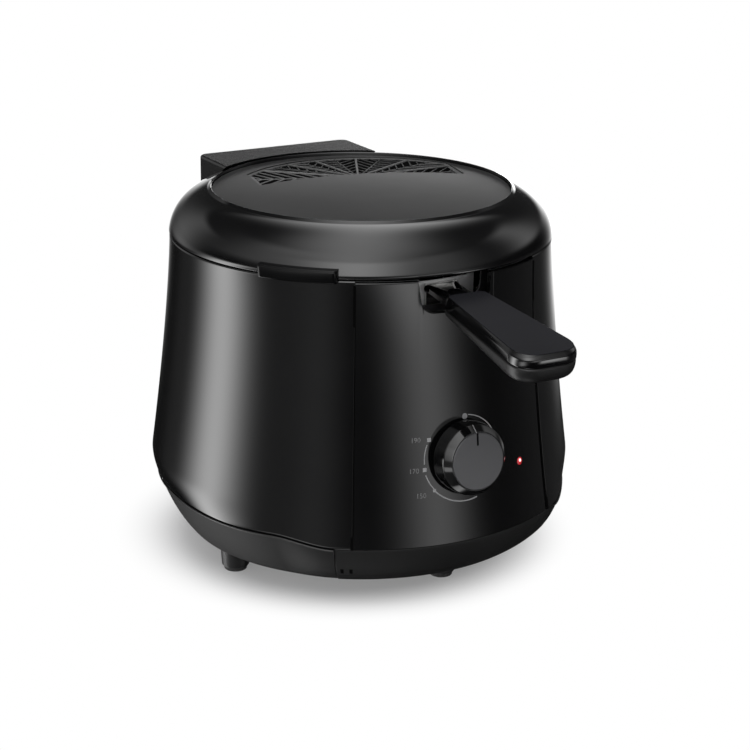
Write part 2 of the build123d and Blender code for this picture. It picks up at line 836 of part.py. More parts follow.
def make_knob():
    """Round knob: tapered skirt, chamfered face and a hub for the shaft."""
    skirt = knob_skirt_diameter / 2
    shoulder = knob_shoulder_diameter / 2
    face = knob_face_diameter / 2
    outline = Polyline(
        (0, knob_lift),
        (skirt, knob_lift),
        (shoulder, knob_shoulder_height),
        (face, knob_height),
        (0, knob_height),
        close=True,
    )
    knob = spin(*outline.edges())
    knob = fillet(knob.edges().filter_by(GeomType.CIRCLE).group_by(Axis.Z)[1:], knob_round)
    hollow = Cone(skirt - knob_wall, shoulder - knob_wall, knob_cavity, align=stand_up)
    knob -= Pos(0, 0, knob_hollow_start) * hollow
    hub_height = knob_height - knob_hub_lift - knob_hub_cover
    knob += Pos(0, 0, knob_hub_lift) * extrude(Circle(knob_hub_diameter / 2), hub_height)
    knob -= extrude(Circle(shaft_diameter / 2 + seat_gap / 2), shaft_reach() + seat_gap)
    knob -= Pos(0, 0, knob_height - cap_thickness) * extrude(Circle(cap_diameter / 2 + seat_gap), knob_height)
    slot = Box(pointer_width + knob_slot_gap, knob_slot_length, 2 * knob_slot_depth)
    knob -= Pos(0, knob_face_diameter / 2 - knob_slot_inset, knob_height) * slot
    return dial_plane() * knob


def make_knob_cap():
    """Satin disc set into the knob's face, slotted for the pointer."""
    cap = Pos(0, 0, knob_height - cap_thickness) * extrude(Circle(cap_diameter / 2), cap_thickness)
    return dial_plane() * (cap - pointer_form(seat_gap))


def pointer_form(gap):
    """Bar sunk in the knob's face that points to its edge, widened by a gap."""
    bar = Box(pointer_width + 2 * gap, pointer_length + 2 * gap, 2 * pointer_depth)
    return Pos(0, cap_diameter / 2 - pointer_length / 2, knob_height) * bar


def make_knob_pointer():
    """Pale pointer bar in the knob's face."""
    bar = pointer_form(0) - Pos(0, 0, knob_height) * extrude(Circle(knob_face_diameter / 2), knob_height)
    return dial_plane() * bar


def make_lamp_lens():
    """Red lens of the pilot lamp, domed in front and flanged behind."""
    root = -panel_wall - lamp_root
    lens = Pos(0, 0, root) * extrude(Circle(lamp_diameter / 2), lamp_stand - root)
    lens = fillet(lens.edges().group_by(Axis.Z)[-1], lamp_round)
    lens += Pos(0, 0, root - lamp_flange_gap) * extrude(Circle(lamp_flange / 2), lamp_flange_thickness)
    return panel_normal(lamp_azimuth, lamp_z) * lens


def make_lamp_holder():
    """Holder with the lamp behind the lens."""
    low = -panel_wall - lamp_root - lamp_flange_gap - lamp_holder_length
    holder = Pos(0, 0, low) * extrude(Circle(lamp_holder_diameter / 2), lamp_holder_length)
    pin = Box(lamp_pin_width, lamp_pin_depth, 2 * lamp_pin_length)
    for x in (-lamp_pin_x, lamp_pin_x):
        holder += Pos(x, 0, low) * pin
    return panel_normal(lamp_azimuth, lamp_z) * holder


def basket_form(inset):
    """Filled form of the basket, drawn in by an inset."""
    low = pot_floor_z + free_gap + inset
    floor = (basket_floor_radius - inset, low)
    top = (basket_radius - inset, basket_top_z)
    outline = Polyline((0, low), floor, top, (0, basket_top_z), close=True)
    solid = spin(*outline.edges())
    return fillet(solid.edges().group_by(Axis.Z)[0], basket_corner - inset)


def make_basket_mesh():
    """Frying basket: the outer form of its wire mesh, open at the top."""
    mouth = disc(basket_radius - basket_wall, basket_top_z - basket_wall, tall)
    return basket_form(0) - basket_form(basket_wall) - mouth


def make_basket_rim():
    """Steel wire that the mesh is rolled round."""
    at = Pos(basket_radius - basket_wall / 2, basket_top_z + basket_wire / 2)
    return revolve(Plane.XZ * at * Circle(basket_wire / 2), Axis.Z)


def handle_root():
    """Distance in front of the pot's axis, and height, of the grip's root."""
    z = lid_edge_z - handle_drop
    return -panel_radius(z) - handle_stand, z


def handle_plane():
    """Plane at the handle's root: X to the side, Y along the handle, Z square to its top."""
    droop = radians(handle_droop)
    along = Vector(0, -cos(droop), -sin(droop))
    return Plane(origin=(0, *handle_root()), x_dir=(-1, 0, 0), z_dir=Vector(-1, 0, 0).cross(along))


def handle_form():
    """Whole grip: widening and thickening outwards, with a round end."""
    half_root = handle_root_width / 2
    half_tip = handle_tip_width / 2
    tip = handle_length
    plan = make_face(Polyline((-half_root, 0), (half_root, 0), (half_tip, tip), (-half_tip, tip), close=True))
    plan = fillet(plan.vertices().group_by(Axis.Y)[-1], handle_tip_corner)
    top = handle_root_thickness / 2
    side = Polyline((0, top), (tip, top), (tip, top - handle_tip_thickness), (0, -top), close=True)
    side_plane = Plane(origin=(-handle_tip_width, 0, 0), x_dir=(0, 1, 0), z_dir=(1, 0, 0))
    grip = extrude(plan, handle_length, both=True)
    grip &= extrude(side_plane * make_face(side), 2 * handle_tip_width)
    soft = [edge for edge in grip.edges() if edge.center().Y > handle_edge]
    flat = [edge for edge in soft if abs(edge.tangent_at(0.5).Z) < 0.7]
    return fillet(flat, handle_edge)


def handle_seam_plane_z():
    """Height of the seam between the grip's halves, in the handle's own plane."""
    return -bracket_thickness / 2


def tongue_form(gap):
    """Flat bar of the bracket inside the grip, in the handle's own plane."""
    root = (handle_root()[0] + basket_radius + basket_wire / 2) / cos(radians(handle_droop))
    length = bracket_reach - root
    bar = Box(bracket_width + 2 * gap, length + 2 * gap, bracket_thickness + 2 * gap)
    return Pos(0, root + length / 2, 0) * bar


def make_handle_bracket():
    """Steel bracket: a plate down the basket's wall and a tongue out into the grip."""
    y = -basket_radius - basket_wire / 2 - seat_gap
    tongue = handle_plane() * tongue_form(0)
    root_y, root_z = handle_root()
    top = root_z + (root_y - y) * -sin(radians(handle_droop))
    half = bracket_width / 2
    plate = block((-half, half), (y - bracket_thickness, y), (top - bracket_drop, top + bracket_thickness))
    bracket = tongue + plate
    hole = extrude(Circle(screw_diameter / 2 + seat_gap), handle_tip_thickness, both=True)
    for along in handle_screw_places():
        bracket -= handle_plane() * Pos(0, along, 0) * hole
    return bracket


def handle_screw_places():
    """Distances of the grip's screws from its root."""
    return (handle_screw_near, bracket_reach - handle_screw_inset)


def make_handle_upper():
    """Upper half of the grip."""
    split = handle_seam_plane_z()
    span = 2 * handle_length
    upper = handle_form() & Pos(0, 0, split + handle_length) * Box(span, 2 * span, span)
    upper -= tongue_form(seat_gap)
    depth = handle_root_thickness / 2 - handle_screw_cover
    for along in handle_screw_places():
        upper -= Pos(0, along, split) * extrude(Circle(screw_diameter / 2 + run_gap), depth - split)
    return handle_plane() * upper


def make_handle_lower():
    """Lower half of the grip, with countersunk screw holes."""
    split = handle_seam_plane_z() - handle_seam
    span = 2 * handle_length
    lower = handle_form() & Pos(0, 0, split - handle_length) * Box(span, 2 * span, span)
    lower -= tongue_form(seat_gap)
    shank = extrude(Circle(screw_diameter / 2 + free_gap), -handle_length)
    head = extrude(Circle(screw_head_diameter / 2 + free_gap), -handle_length)
    for along in handle_screw_places():
        lower -= Pos(0, along, split) * shank
        lower -= Pos(0, along, split - handle_screw_seat) * head
    return handle_plane() * lower


def make_handle_screws():
    """Screws that close the grip from below through the bracket."""
    seat = handle_seam_plane_z() - handle_seam - handle_screw_seat
    length = handle_root_thickness / 2 - handle_screw_cover - 2 * seat_gap - seat
    screws = [
        handle_plane() * Pos(0, along, seat) * Rot(180, 0, 0) * screw(length)
        for along in handle_screw_places()
    ]
    return Compound(screws)


def lid_form(inset):
    """Filled dome of the lid, drawn in by an inset."""
    rim = lid_radius
    low = (rim - inset, lid_edge_z + lid_edge_height)
    turns = []
    for (back, rise), (out_share, up_share) in zip(lid_shoulder, lid_wall_shares):
        turns.append((rim - back - inset * out_share, lid_edge_z + rise - inset * up_share))
    high = (lid_rim_outer - inset * lid_top_share, lid_top_z - lid_rim_drop - inset)
    shoulder = Spline(low, *turns, high, tangents=((0, 1), (-1, lid_top_slope)))
    flat = (lid_rim_outer - lid_rim_round, lid_top_z - inset)
    rest = Polyline(high, flat, (0, lid_top_z - inset), (0, lid_edge_z), (rim - inset, lid_edge_z), low)
    return spin(shoulder, *rest.edges())


def disc_top_z():
    """Top of the lid's satin disc."""
    return lid_top_z - disc_drop


def make_lid_shell():
    """Glossy outer lid with a seat for the disc and posts for the liner."""
    shell = lid_form(0) - lid_form(lid_wall)
    seat_z = disc_top_z() - disc_thickness - seat_gap
    inside = lid_form(lid_wall / 2)
    shell += ring(lid_seat_inner, lid_rim_inner + lid_rim_lap, seat_z - lid_wall, lid_top_z) & inside
    shell -= disc(lid_rim_inner, seat_z, tall)
    shell -= disc(lid_seat_inner, 0, tall)
    for azimuth in liner_screw_azimuths:
        at = polar(liner_screw_radius, azimuth)
        shell += disc(post_diameter / 2, liner_z + liner_thickness, tall, at) & inside
        shell -= disc(screw_diameter / 2 + run_gap, 0, liner_z + liner_thickness + liner_screw_length, at)
    return shell


def vent_outline(inset):
    """Crescent behind the lid's middle: a shallow arc in front, the rim's arc behind."""
    half = vent_half_width - vent_end_share * inset
    front = vent_front_y + inset
    outer = vent_outer_radius - inset
    back_y = (outer**2 - half**2) ** 0.5
    arc = ThreePointArc((-half, front), (0, front + vent_crown), (half, front))
    rear = ThreePointArc((half, back_y), (0, outer), (-half, back_y))
    left = Line((-half, back_y), (-half, front))
    right = Line((half, front), (half, back_y))
    return fillet(make_face([arc, right, rear, left]).vertices(), vent_corner - inset)


def make_lid_disc():
    """Satin disc in the lid's top with the vent's crescent cut out."""
    high = disc_top_z()
    plate = disc(lid_rim_inner - disc_gap, high - disc_thickness, high)
    plate = fillet(plate.edges().group_by(Axis.Z)[-1], disc_round)
    return plate - Pos(0, 0, high) * extrude(vent_outline(0), through, both=True)


def make_vent_grille():
    """Fan of spines and slanting ribs that fills the crescent."""
    high = disc_top_z() - grille_drop
    low = high - grille_thickness
    full = Pos(0, 0, low) * extrude(vent_outline(seat_gap), grille_thickness)
    inner = Pos(0, 0, low) * extrude(vent_outline(grille_border), grille_thickness)
    bars = []
    hub_y = vent_front_y + vent_crown
    half = grille_spine / 2
    spine = block((-half, half), (0, grille_reach), (0, grille_thickness))
    for lean in grille_spine_leans:
        bars.append(Pos(0, hub_y, low) * Rot(0, 0, lean) * spine)
    rib = Pos(0, 0, grille_thickness / 2) * Box(grille_bar, grille_reach, grille_thickness)
    for step in range(-grille_bar_count, grille_bar_count + 1):
        slant = -grille_bar_lean if step < 0 else grille_bar_lean
        bars.append(Pos(step * grille_bar_pitch, hub_y + grille_bar_shift, low) * Rot(0, 0, slant) * rib)
    web = bars[0].fuse(*bars[1:]) & inner
    return full - inner + web


def make_filter_tray():
    """Shallow box under the vent that holds the filter."""
    high = disc_top_z() - disc_thickness
    outer = Pos(0, 0, high - filter_depth) * extrude(vent_outline(-filter_wall), filter_depth)
    inner = Pos(0, 0, high - filter_depth + filter_wall) * extrude(vent_outline(0), filter_depth)
    tray = outer - inner
    slot = extrude(SlotOverall(filter_slot_length, filter_slot_width, 90), filter_depth / 2, both=True)
    for column in range(-filter_slot_reach, filter_slot_reach + 1):
        tray -= Pos(column * filter_slot_pitch, filter_slot_y, high - filter_depth) * slot
    return tray


def make_filter_pad():
    """Grease filter mat in its tray."""
    high = disc_top_z() - grille_drop - grille_thickness
    low = disc_top_z() - disc_thickness - filter_depth + filter_wall
    return Pos(0, 0, low + seat_gap) * extrude(vent_outline(free_gap), high - low - 2 * seat_gap)


def make_lid_liner():
    """Steel liner under the lid with steam holes below the filter."""
    plate = disc(liner_radius, liner_z, liner_z + liner_thickness)
    for column in range(-steam_reach, steam_reach + 1):
        for row in range(steam_rows):
            at = (column * steam_pitch_x, steam_first_y + row * steam_pitch_y)
            plate -= disc(steam_hole / 2, 0, tall, at)
    for azimuth in liner_screw_azimuths:
        plate -= disc(screw_diameter / 2 + free_gap, 0, tall, polar(liner_screw_radius, azimuth))
    return plate


def make_liner_screws():
    """Screws from below through the liner into the lid's posts."""
    return Compound(
        [
            Pos(*polar(liner_screw_radius, azimuth), liner_z) * Rot(180, 0, 0) * screw(liner_screw_length)
            for azimuth in liner_screw_azimuths
        ]
    )


def make_lid_seal():
    """Rubber ring under the liner that meets the pot's flange."""
    seal = ring(seal_inner, seal_outer, pot_flange_z + pot_wall + seal_gap, liner_z)
    return fillet(seal.edges().group_by(Axis.Z)[0], seal_round)


def make_lid_tab():
    """Finger lip on the lid's edge, left of the panel."""
    inner = lid_radius + seat_gap
    low = lid_edge_z - tab_overhang
    high = low + tab_height
    turn = high - tab_slope_height
    outer = inner + tab_reach
    top = (inner + tab_top_reach, high)
    outline = Polyline((inner, low), (outer, low), (outer, turn), top, (inner, high), close=True)
    solid = spin(*outline.edges())
    solid = fillet([edge for edge in solid.edges() if abs(edge.center().Z - turn) < seat_gap], tab_round)
    tab = solid & wedge(tab_from_azimuth, tab_to_azimuth, 0, tall)
    return tab - lid_form(-seat_gap)


def make_hinge_cover():
    """Box at the rear of the lid with the hinge's knuckle behind it."""
    wide = (-cover_half_width, cover_half_width)
    box = block(wide, (lid_rim_outer / 2, cover_rear_y), (cover_bottom_z, cover_top_z))
    uprights = box.edges().filter_by(Axis.Z).group_by(Axis.Y)[-1]
    box = fillet(uprights, cover_edge)
    box = fillet(box.edges().group_by(Axis.Z)[-1], cover_top_round)
    box -= disc(lid_rim_outer + seat_gap, 0, tall)
    box -= lid_form(-seat_gap)
    box -= disc(lid_radius + seat_gap, 0, lid_edge_z + cover_skirt)
    reach = lug_inner_x - hinge_side_gap
    half = hinge_web / 2
    web = block((-reach, reach), (cover_rear_y - hinge_web_root, hinge_y), (hinge_z - half, hinge_z + half))
    cover = box + web + cross_rod(knuckle_radius, -reach, reach, hinge_y, hinge_z)
    return cover - cross_rod(pin_diameter / 2 + run_gap, -far, far, hinge_y, hinge_z)


def make_hinge_bracket():
    """Bracket on the body's rear wall with two lugs for the hinge pin."""
    wide = (-bracket_plate_half, bracket_plate_half)
    plate = block(wide, (bracket_root_y, bracket_plate_y), (bracket_low_z, bracket_high_z))
    plate = fillet(plate.edges().filter_by(Axis.Y).group_by(Axis.Y)[-1], bracket_corner)
    low = bracket_low_z + lug_lift
    front = hinge_y - knuckle_radius
    rear = hinge_y + knuckle_radius
    slope = Polyline((front, low), (rear, low + lug_gusset), (front, low + lug_gusset), close=True)
    for side in (-1, 1):
        x = sorted((side * lug_inner_x, side * lug_outer_x))
        plate += block(x, (front, rear), (low + lug_block_lift, hinge_z))
        plate += cross_rod(knuckle_radius, *x, hinge_y, hinge_z)
        plate += extrude(Plane.YZ.offset(x[0]) * make_face(slope), lug_width)
    plate -= body_form(-seat_gap)
    for x, z in hinge_screw_places:
        plate -= rear_plane(x, 0, z) * extrude(Circle(screw_diameter / 2 + free_gap), far)
    return plate - cross_rod(pin_diameter / 2 + run_gap / 2, -far, far, hinge_y, hinge_z)


def make_hinge_screws():
    """Screws that hold the hinge bracket to the body."""
    fastener = screw(hinge_screw_length)
    return Compound([rear_plane(x, bracket_plate_y, z) * fastener for x, z in hinge_screw_places])


def make_hinge_pin():
    """Pin through the bracket's lugs and the lid's knuckle."""
    start = lug_outer_x + pin_head_gap
    end = start + pin_head_length
    pin = cross_rod(pin_diameter / 2, -end, end, hinge_y, hinge_z)
    for side in (-1, 1):
        x = sorted((side * start, side * end))
        pin += cross_rod(pin_head_diameter / 2, *x, hinge_y, hinge_z)
    return pin


PIECES = {
    "base_tray": make_base_tray,
    "feet": make_feet,
    "foot_pads": make_foot_pads,
    "body_shell": make_body_shell,
    "front_panel": make_front_panel,
    "panel_screws": make_panel_screws,
    "base_screws": make_base_screws,
    "oil_pot": make_oil_pot,
    "heating_element": make_heating_element,
    "element_clamp": make_element_clamp,
    "clamp_nut": make_clamp_nut,
    "heat_shield": make_heat_shield,
    "thermal_cutout": make_thermal_cutout,
    "terminal_block": make_terminal_block,
    "cord_inlet": make_cord_inlet,
    "thermostat": make_thermostat,
    "thermostat_nut": make_thermostat_nut,
    "capillary_sensor": make_capillary,
    "lamp_lens": make_lamp_lens,
    "lamp_holder": make_lamp_holder,
    "hinge_bracket": make_hinge_bracket,
    "hinge_screws": make_hinge_screws,
    "hinge_pin": make_hinge_pin,
    "thermostat_shaft": make_thermostat_shaft,
    "knob": make_knob,
    "knob_cap": make_knob_cap,
    "knob_pointer": make_knob_pointer,
    "basket_mesh": make_basket_mesh,
    "basket_rim": make_basket_rim,
    "handle_bracket": make_handle_bracket,
    "handle_upper": make_handle_upper,
    "handle_lower": make_handle_lower,
    "handle_screws": make_handle_screws,
    "lid_shell": make_lid_shell,
    "lid_disc": make_lid_disc,
    "vent_grille": make_vent_grille,
    "filter_tray": make_filter_tray,
    "filter_pad": make_filter_pad,
    "lid_liner": make_lid_liner,
    "liner_screws": make_liner_screws,
    "lid_seal": make_lid_seal,
    "lid_tab": make_lid_tab,
    "hinge_cover": make_hinge_cover,
}


def main():
    """Build every piece, centre the whole on its box in plan, and write one file each."""
    solids = {name: make() for name, make in PIECES.items()}
    boxes = [solid.bounding_box() for solid in solids.values()]
    front = min(box.min.Y for box in boxes)
    rear = max(box.max.Y for box in boxes)
    centre = Pos(0, -(front + rear) / 2, 0)
    os.makedirs("parts", exist_ok=True)
    for name, solid in solids.items():
        export_step(centre * solid, f"parts/{name}.step")
    print("pot axis at y", round(-(front + rear) / 2, 3), "pieces", len(solids))


if __name__ == "__main__":
    main()
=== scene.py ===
"""Deep fryer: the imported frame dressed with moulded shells, a wire basket, a printed dial and a studio.

Lengths are metres, written as millimetres times MM. Azimuths are degrees from the front, positive towards +X.
"""

from __future__ import annotations

import logging
import math
from dataclasses import dataclass
from enum import Enum

import bmesh
import bpy
import numpy as np
from mathutils import Matrix, Vector

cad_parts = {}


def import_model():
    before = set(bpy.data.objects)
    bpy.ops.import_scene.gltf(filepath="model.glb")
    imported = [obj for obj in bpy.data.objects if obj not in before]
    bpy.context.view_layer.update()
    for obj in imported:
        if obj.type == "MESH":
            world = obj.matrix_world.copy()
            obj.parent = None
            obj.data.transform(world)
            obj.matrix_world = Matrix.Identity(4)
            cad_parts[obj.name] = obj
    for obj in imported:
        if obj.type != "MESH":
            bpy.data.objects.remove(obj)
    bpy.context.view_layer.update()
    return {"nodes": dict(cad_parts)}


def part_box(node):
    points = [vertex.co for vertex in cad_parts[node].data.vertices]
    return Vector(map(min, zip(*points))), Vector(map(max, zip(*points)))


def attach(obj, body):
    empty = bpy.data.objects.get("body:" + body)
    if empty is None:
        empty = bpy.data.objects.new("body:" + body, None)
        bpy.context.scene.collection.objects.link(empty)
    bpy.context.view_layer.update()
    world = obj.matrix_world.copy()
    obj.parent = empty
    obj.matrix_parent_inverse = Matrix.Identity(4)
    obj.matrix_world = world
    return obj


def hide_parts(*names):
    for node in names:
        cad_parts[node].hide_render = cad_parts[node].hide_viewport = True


LOG = logging.getLogger("fryer")
Colour = tuple[float, float, float]
Numbers = np.ndarray | float
Point = np.ndarray | tuple[float, ...]
MM = 0.001
SHARP_EDGE = math.radians(40.0)
DEEPEST_ROUND = 0.95


class Grain(Enum):
    """How a finish breaks up its surface, as the octaves of its fine noise."""

    POLISHED = 1.0
    MOULDED = 3.0
    BRUSHED = 5.0
    FELTED = 8.0


class Body(Enum):
    """Bodies of the frame that pieces ride on."""

    HOUSING = "housing"
    KNOB = "knob"
    BASKET = "basket"
    LID = "lid"


@dataclass(frozen=True)
class Finish:
    """A procedural finish on Object coordinates.

    The colour wanders between two tones and the roughness between two limits with a broad noise;
    a finer noise, shaped by the grain, tilts the surface as a bump.
    """

    name: str
    tone: Colour
    tone_worn: Colour
    rough: tuple[float, float]
    grain: Grain = Grain.MOULDED
    grain_scale: float = 900.0
    bump: float = 0.1
    bump_depth: float = 0.05 * MM
    patch_scale: float = 18.0
    metallic: float = 0.0
    specular: float = 0.5
    coat: float = 0.0
    coat_rough: float = 0.05
    glow: float = 0.0
    stretch: Colour = (1.0, 1.0, 1.0)

    def material(self) -> bpy.types.Material:
        """Build the finish once and return it.

        Returns:
            The material, made on the first call and reused after that.
        """
        found = bpy.data.materials.get(self.name)
        if found:
            return found
        made = bpy.data.materials.new(self.name)
        made.use_nodes = True
        tree = made.node_tree
        shader = tree.nodes["Principled BSDF"]
        shader.inputs["Metallic"].default_value = self.metallic
        shader.inputs["Specular IOR Level"].default_value = self.specular
        shader.inputs["Coat Weight"].default_value = self.coat
        shader.inputs["Coat Roughness"].default_value = self.coat_rough
        shader.inputs["Emission Color"].default_value = (*self.tone_worn, 1.0)
        shader.inputs["Emission Strength"].default_value = self.glow
        place = tree.nodes.new("ShaderNodeTexCoord").outputs["Object"]
        patches = self._noise(tree, place, self.patch_scale, Grain.MOULDED)
        tones = tree.nodes.new("ShaderNodeValToRGB")
        tones.color_ramp.elements[0].position = 0.3
        tones.color_ramp.elements[0].color = (*self.tone, 1.0)
        tones.color_ramp.elements[1].position = 0.72
        tones.color_ramp.elements[1].color = (*self.tone_worn, 1.0)
        tree.links.new(patches, tones.inputs["Fac"])
        tree.links.new(tones.outputs["Color"], shader.inputs["Base Color"])
        rough = tree.nodes.new("ShaderNodeMapRange")
        rough.inputs["From Min"].default_value = 0.3
        rough.inputs["From Max"].default_value = 0.7
        rough.inputs["To Min"].default_value = self.rough[0]
        rough.inputs["To Max"].default_value = self.rough[1]
        tree.links.new(patches, rough.inputs["Value"])
        tree.links.new(rough.outputs["Result"], shader.inputs["Roughness"])
        relief = tree.nodes.new("ShaderNodeBump")
        relief.inputs["Strength"].default_value = self.bump
        relief.inputs["Distance"].default_value = self.bump_depth
        tree.links.new(self._noise(tree, place, self.grain_scale, self.grain), relief.inputs["Height"])
        tree.links.new(relief.outputs["Normal"], shader.inputs["Normal"])
        return made

    def _noise(
        self, tree: bpy.types.NodeTree, where: bpy.types.NodeSocket, scale: float, grain: Grain
    ) -> bpy.types.NodeSocket:
        """Noise factor at a scale, read through the finish's stretch.

        Args:
            tree: The material's nodes.
            where: The coordinates to read.
            scale: Waves per metre.
            grain: The grain whose octaves the noise has.

        Returns:
            The noise node's factor socket.
        """
        mapping = tree.nodes.new("ShaderNodeMapping")
        mapping.inputs["Scale"].default_value = self.stretch
        noise = tree.nodes.new("ShaderNodeTexNoise")
        noise.inputs["Scale"].default_value = scale
        noise.inputs["Detail"].default_value = grain.value
        tree.links.new(where, mapping.inputs["Vector"])
        tree.links.new(mapping.outputs["Vector"], noise.inputs["Vector"])
        return noise.outputs["Fac"]


GLOSS_BLACK = Finish(
    "gloss_black_moulding", (0.002, 0.002, 0.0022), (0.003, 0.003, 0.0032), (0.07, 0.1), Grain.POLISHED, 60.0,
    0.02, 0.4 * MM, specular=0.45,
)
SATIN_BLACK = Finish(
    "satin_black_moulding", (0.004, 0.004, 0.0042), (0.006, 0.006, 0.0062), (0.4, 0.5), bump=0.18,
    specular=0.3,
)
TRAY_BLACK = Finish(
    "matt_black_tray", (0.007, 0.007, 0.007), (0.01, 0.01, 0.01), (0.5, 0.6), bump=0.2, specular=0.14
)
TAB_BLACK = Finish(
    "tab_black_moulding", (0.002, 0.002, 0.0022), (0.003, 0.003, 0.0032), (0.12, 0.16), Grain.POLISHED, 60.0,
    0.02, 0.4 * MM, specular=0.12,
)
HANDLE_SATIN = Finish(
    "soft_touch_grip", (0.006, 0.006, 0.0075), (0.009, 0.009, 0.011), (0.4, 0.48), bump=0.2, specular=0.07
)
SATIN_GREY = Finish(
    "satin_grey_moulding", (0.012, 0.012, 0.0122), (0.015, 0.015, 0.0152), (0.28, 0.34), bump=0.12,
    specular=0.4,
)
COVER_BLACK = Finish(
    "satin_black_cover", (0.004, 0.004, 0.004), (0.006, 0.006, 0.006), (0.2, 0.24), bump=0.0, specular=0.32
)
# Steel of the handle's bracket painted near white: the colour is a painted reflection of light off the steel.
STEEL_PAINTED_GLINT = Finish(
    "steel_painted_glint", (0.74, 0.74, 0.74), (0.84, 0.84, 0.84), (0.3, 0.4), Grain.BRUSHED, metallic=0.25
)
KNOB_FACE = Finish(
    "satin_knob_face", (0.032, 0.032, 0.035), (0.042, 0.042, 0.046), (0.34, 0.42), Grain.BRUSHED, bump=0.06
)
# One vent moulding as a lit and a shaded copy: VENT_GREY, the lit copy, is worn by the first leaf, the border
# and the spines; VENT_SHADED is the same moulding darkened with painted shade, worn by the other leaves.
VENT_GREY = Finish("vent_moulding", (0.08, 0.08, 0.08), (0.1, 0.1, 0.1), (0.26, 0.34), bump=0.1)
VENT_SHADED = Finish("vent_painted_shade_moulding", (0.022, 0.022, 0.022), (0.03, 0.03, 0.03), (0.26, 0.34), bump=0.1)
LAMP_CORE = Finish(
    "lamp_core", (0.9, 0.6, 0.62), (1.0, 0.75, 0.78), (0.1, 0.2), Grain.POLISHED, patch_scale=300.0, glow=1.3
)
RUBBER = Finish(
    "black_rubber", (0.008, 0.008, 0.008), (0.016, 0.016, 0.016), (0.7, 0.85), grain_scale=500.0, bump=0.3
)
STEEL = Finish(
    "drawn_steel", (0.56, 0.56, 0.55), (0.64, 0.64, 0.63), (0.18, 0.3), Grain.BRUSHED, 700.0, 0.08,
    metallic=1.0, stretch=(1.0, 1.0, 0.06),
)
PLATED = Finish(
    "plated_screw_steel", (0.5, 0.5, 0.48), (0.62, 0.61, 0.58), (0.2, 0.34), grain_scale=600.0, metallic=1.0
)
POT_COATING = Finish(
    "non_stick_coating", (0.014, 0.014, 0.015), (0.028, 0.028, 0.03), (0.3, 0.42), grain_scale=1400.0,
    bump=0.35,
)
ALUMINIUM = Finish(
    "pressed_aluminium", (0.72, 0.72, 0.73), (0.8, 0.8, 0.81), (0.3, 0.45), Grain.BRUSHED, metallic=1.0
)
INNER_PLASTIC = Finish(
    "heat_proof_plastic", (0.03, 0.029, 0.028), (0.045, 0.043, 0.041), (0.5, 0.62), bump=0.2
)
BRASS = Finish("turned_brass", (0.72, 0.5, 0.2), (0.8, 0.58, 0.26), (0.22, 0.34), Grain.BRUSHED, metallic=1.0)
RED_LENS = Finish(
    "red_lens", (0.35, 0.008, 0.014), (0.9, 0.06, 0.08), (0.08, 0.14), Grain.POLISHED, patch_scale=300.0,
    coat=0.4, glow=0.2,
)
PALE_PRINT = Finish("pale_print", (0.22, 0.22, 0.225), (0.3, 0.3, 0.305), (0.45, 0.55))
DIM_PRINT = Finish("dim_print", (0.1, 0.1, 0.102), (0.14, 0.14, 0.142), (0.45, 0.55))
# Painted shade: a black with no reflection at all, laid in the skirt's slots, the knob's pointer slot, the
# joints beside the panel and under the vent's ribs, where those look dark from shade.
PAINTED_SHADE_BLACK = Finish("painted_shade_black", (0.002, 0.002, 0.002), (0.004, 0.004, 0.004), (0.6, 0.7), specular=0.0)
FILTER_MAT = Finish(
    "filter_mat", (0.006, 0.006, 0.006), (0.02, 0.02, 0.02), (0.85, 0.95), Grain.FELTED, 420.0, 0.9, 0.8 * MM
)

NODE_FINISHES: dict[str, Finish] = {
    "base_tray": SATIN_BLACK, "feet": SATIN_BLACK, "foot_pads": RUBBER, "body_shell": GLOSS_BLACK,
    "front_panel": GLOSS_BLACK, "panel_screws": PLATED, "base_screws": PLATED, "oil_pot": POT_COATING,
    "heating_element": STEEL, "element_clamp": ALUMINIUM, "clamp_nut": PLATED, "heat_shield": ALUMINIUM,
    "thermal_cutout": INNER_PLASTIC, "terminal_block": INNER_PLASTIC, "cord_inlet": RUBBER,
    "thermostat": INNER_PLASTIC, "thermostat_nut": PLATED, "capillary_sensor": BRASS, "lamp_lens": RED_LENS,
    "lamp_holder": INNER_PLASTIC, "hinge_bracket": SATIN_BLACK, "hinge_screws": PLATED, "hinge_pin": STEEL,
    # The knob's pointer is dressed in painted shade, the black of its slot.
    "thermostat_shaft": BRASS, "knob": GLOSS_BLACK, "knob_cap": KNOB_FACE, "knob_pointer": PAINTED_SHADE_BLACK,
    "basket_mesh": STEEL, "basket_rim": STEEL, "handle_bracket": STEEL, "handle_upper": GLOSS_BLACK,
    "handle_lower": SATIN_BLACK, "handle_screws": PLATED, "lid_shell": GLOSS_BLACK, "lid_disc": SATIN_GREY,
    "vent_grille": SATIN_GREY, "filter_tray": INNER_PLASTIC, "filter_pad": FILTER_MAT, "lid_liner": STEEL,
    "liner_screws": PLATED, "lid_seal": RUBBER, "lid_tab": GLOSS_BLACK, "hinge_cover": COVER_BLACK,
}


def ease(value: np.ndarray, low: float, high: float) -> np.ndarray:
    """Rise smoothly from 0 at one limit to 1 at the other.

    Args:
        value: Where to read the rise.
        low: Value at which the rise starts.
        high: Value at which the rise ends.

    Returns:
        The cubic ease between the limits.
    """
    share = np.clip((value - low) / (high - low), 0.0, 1.0)
    return share * share * (3.0 - 2.0 * share)


def round_over(distance: np.ndarray, length: float, depth: float) -> np.ndarray:
    """Depth by which an edge is rounded off, as a quarter ellipse.

    Args:
        distance: Distance from the edge along the surface.
        length: How far from the edge the rounding starts.
        depth: Depth of the rounding at the edge itself.

    Returns:
        Depth below the surface at each distance.
    """
    share = np.clip(1.0 - distance / length, 0.0, 1.0)
    return depth * (1.0 - np.sqrt(1.0 - share * share))


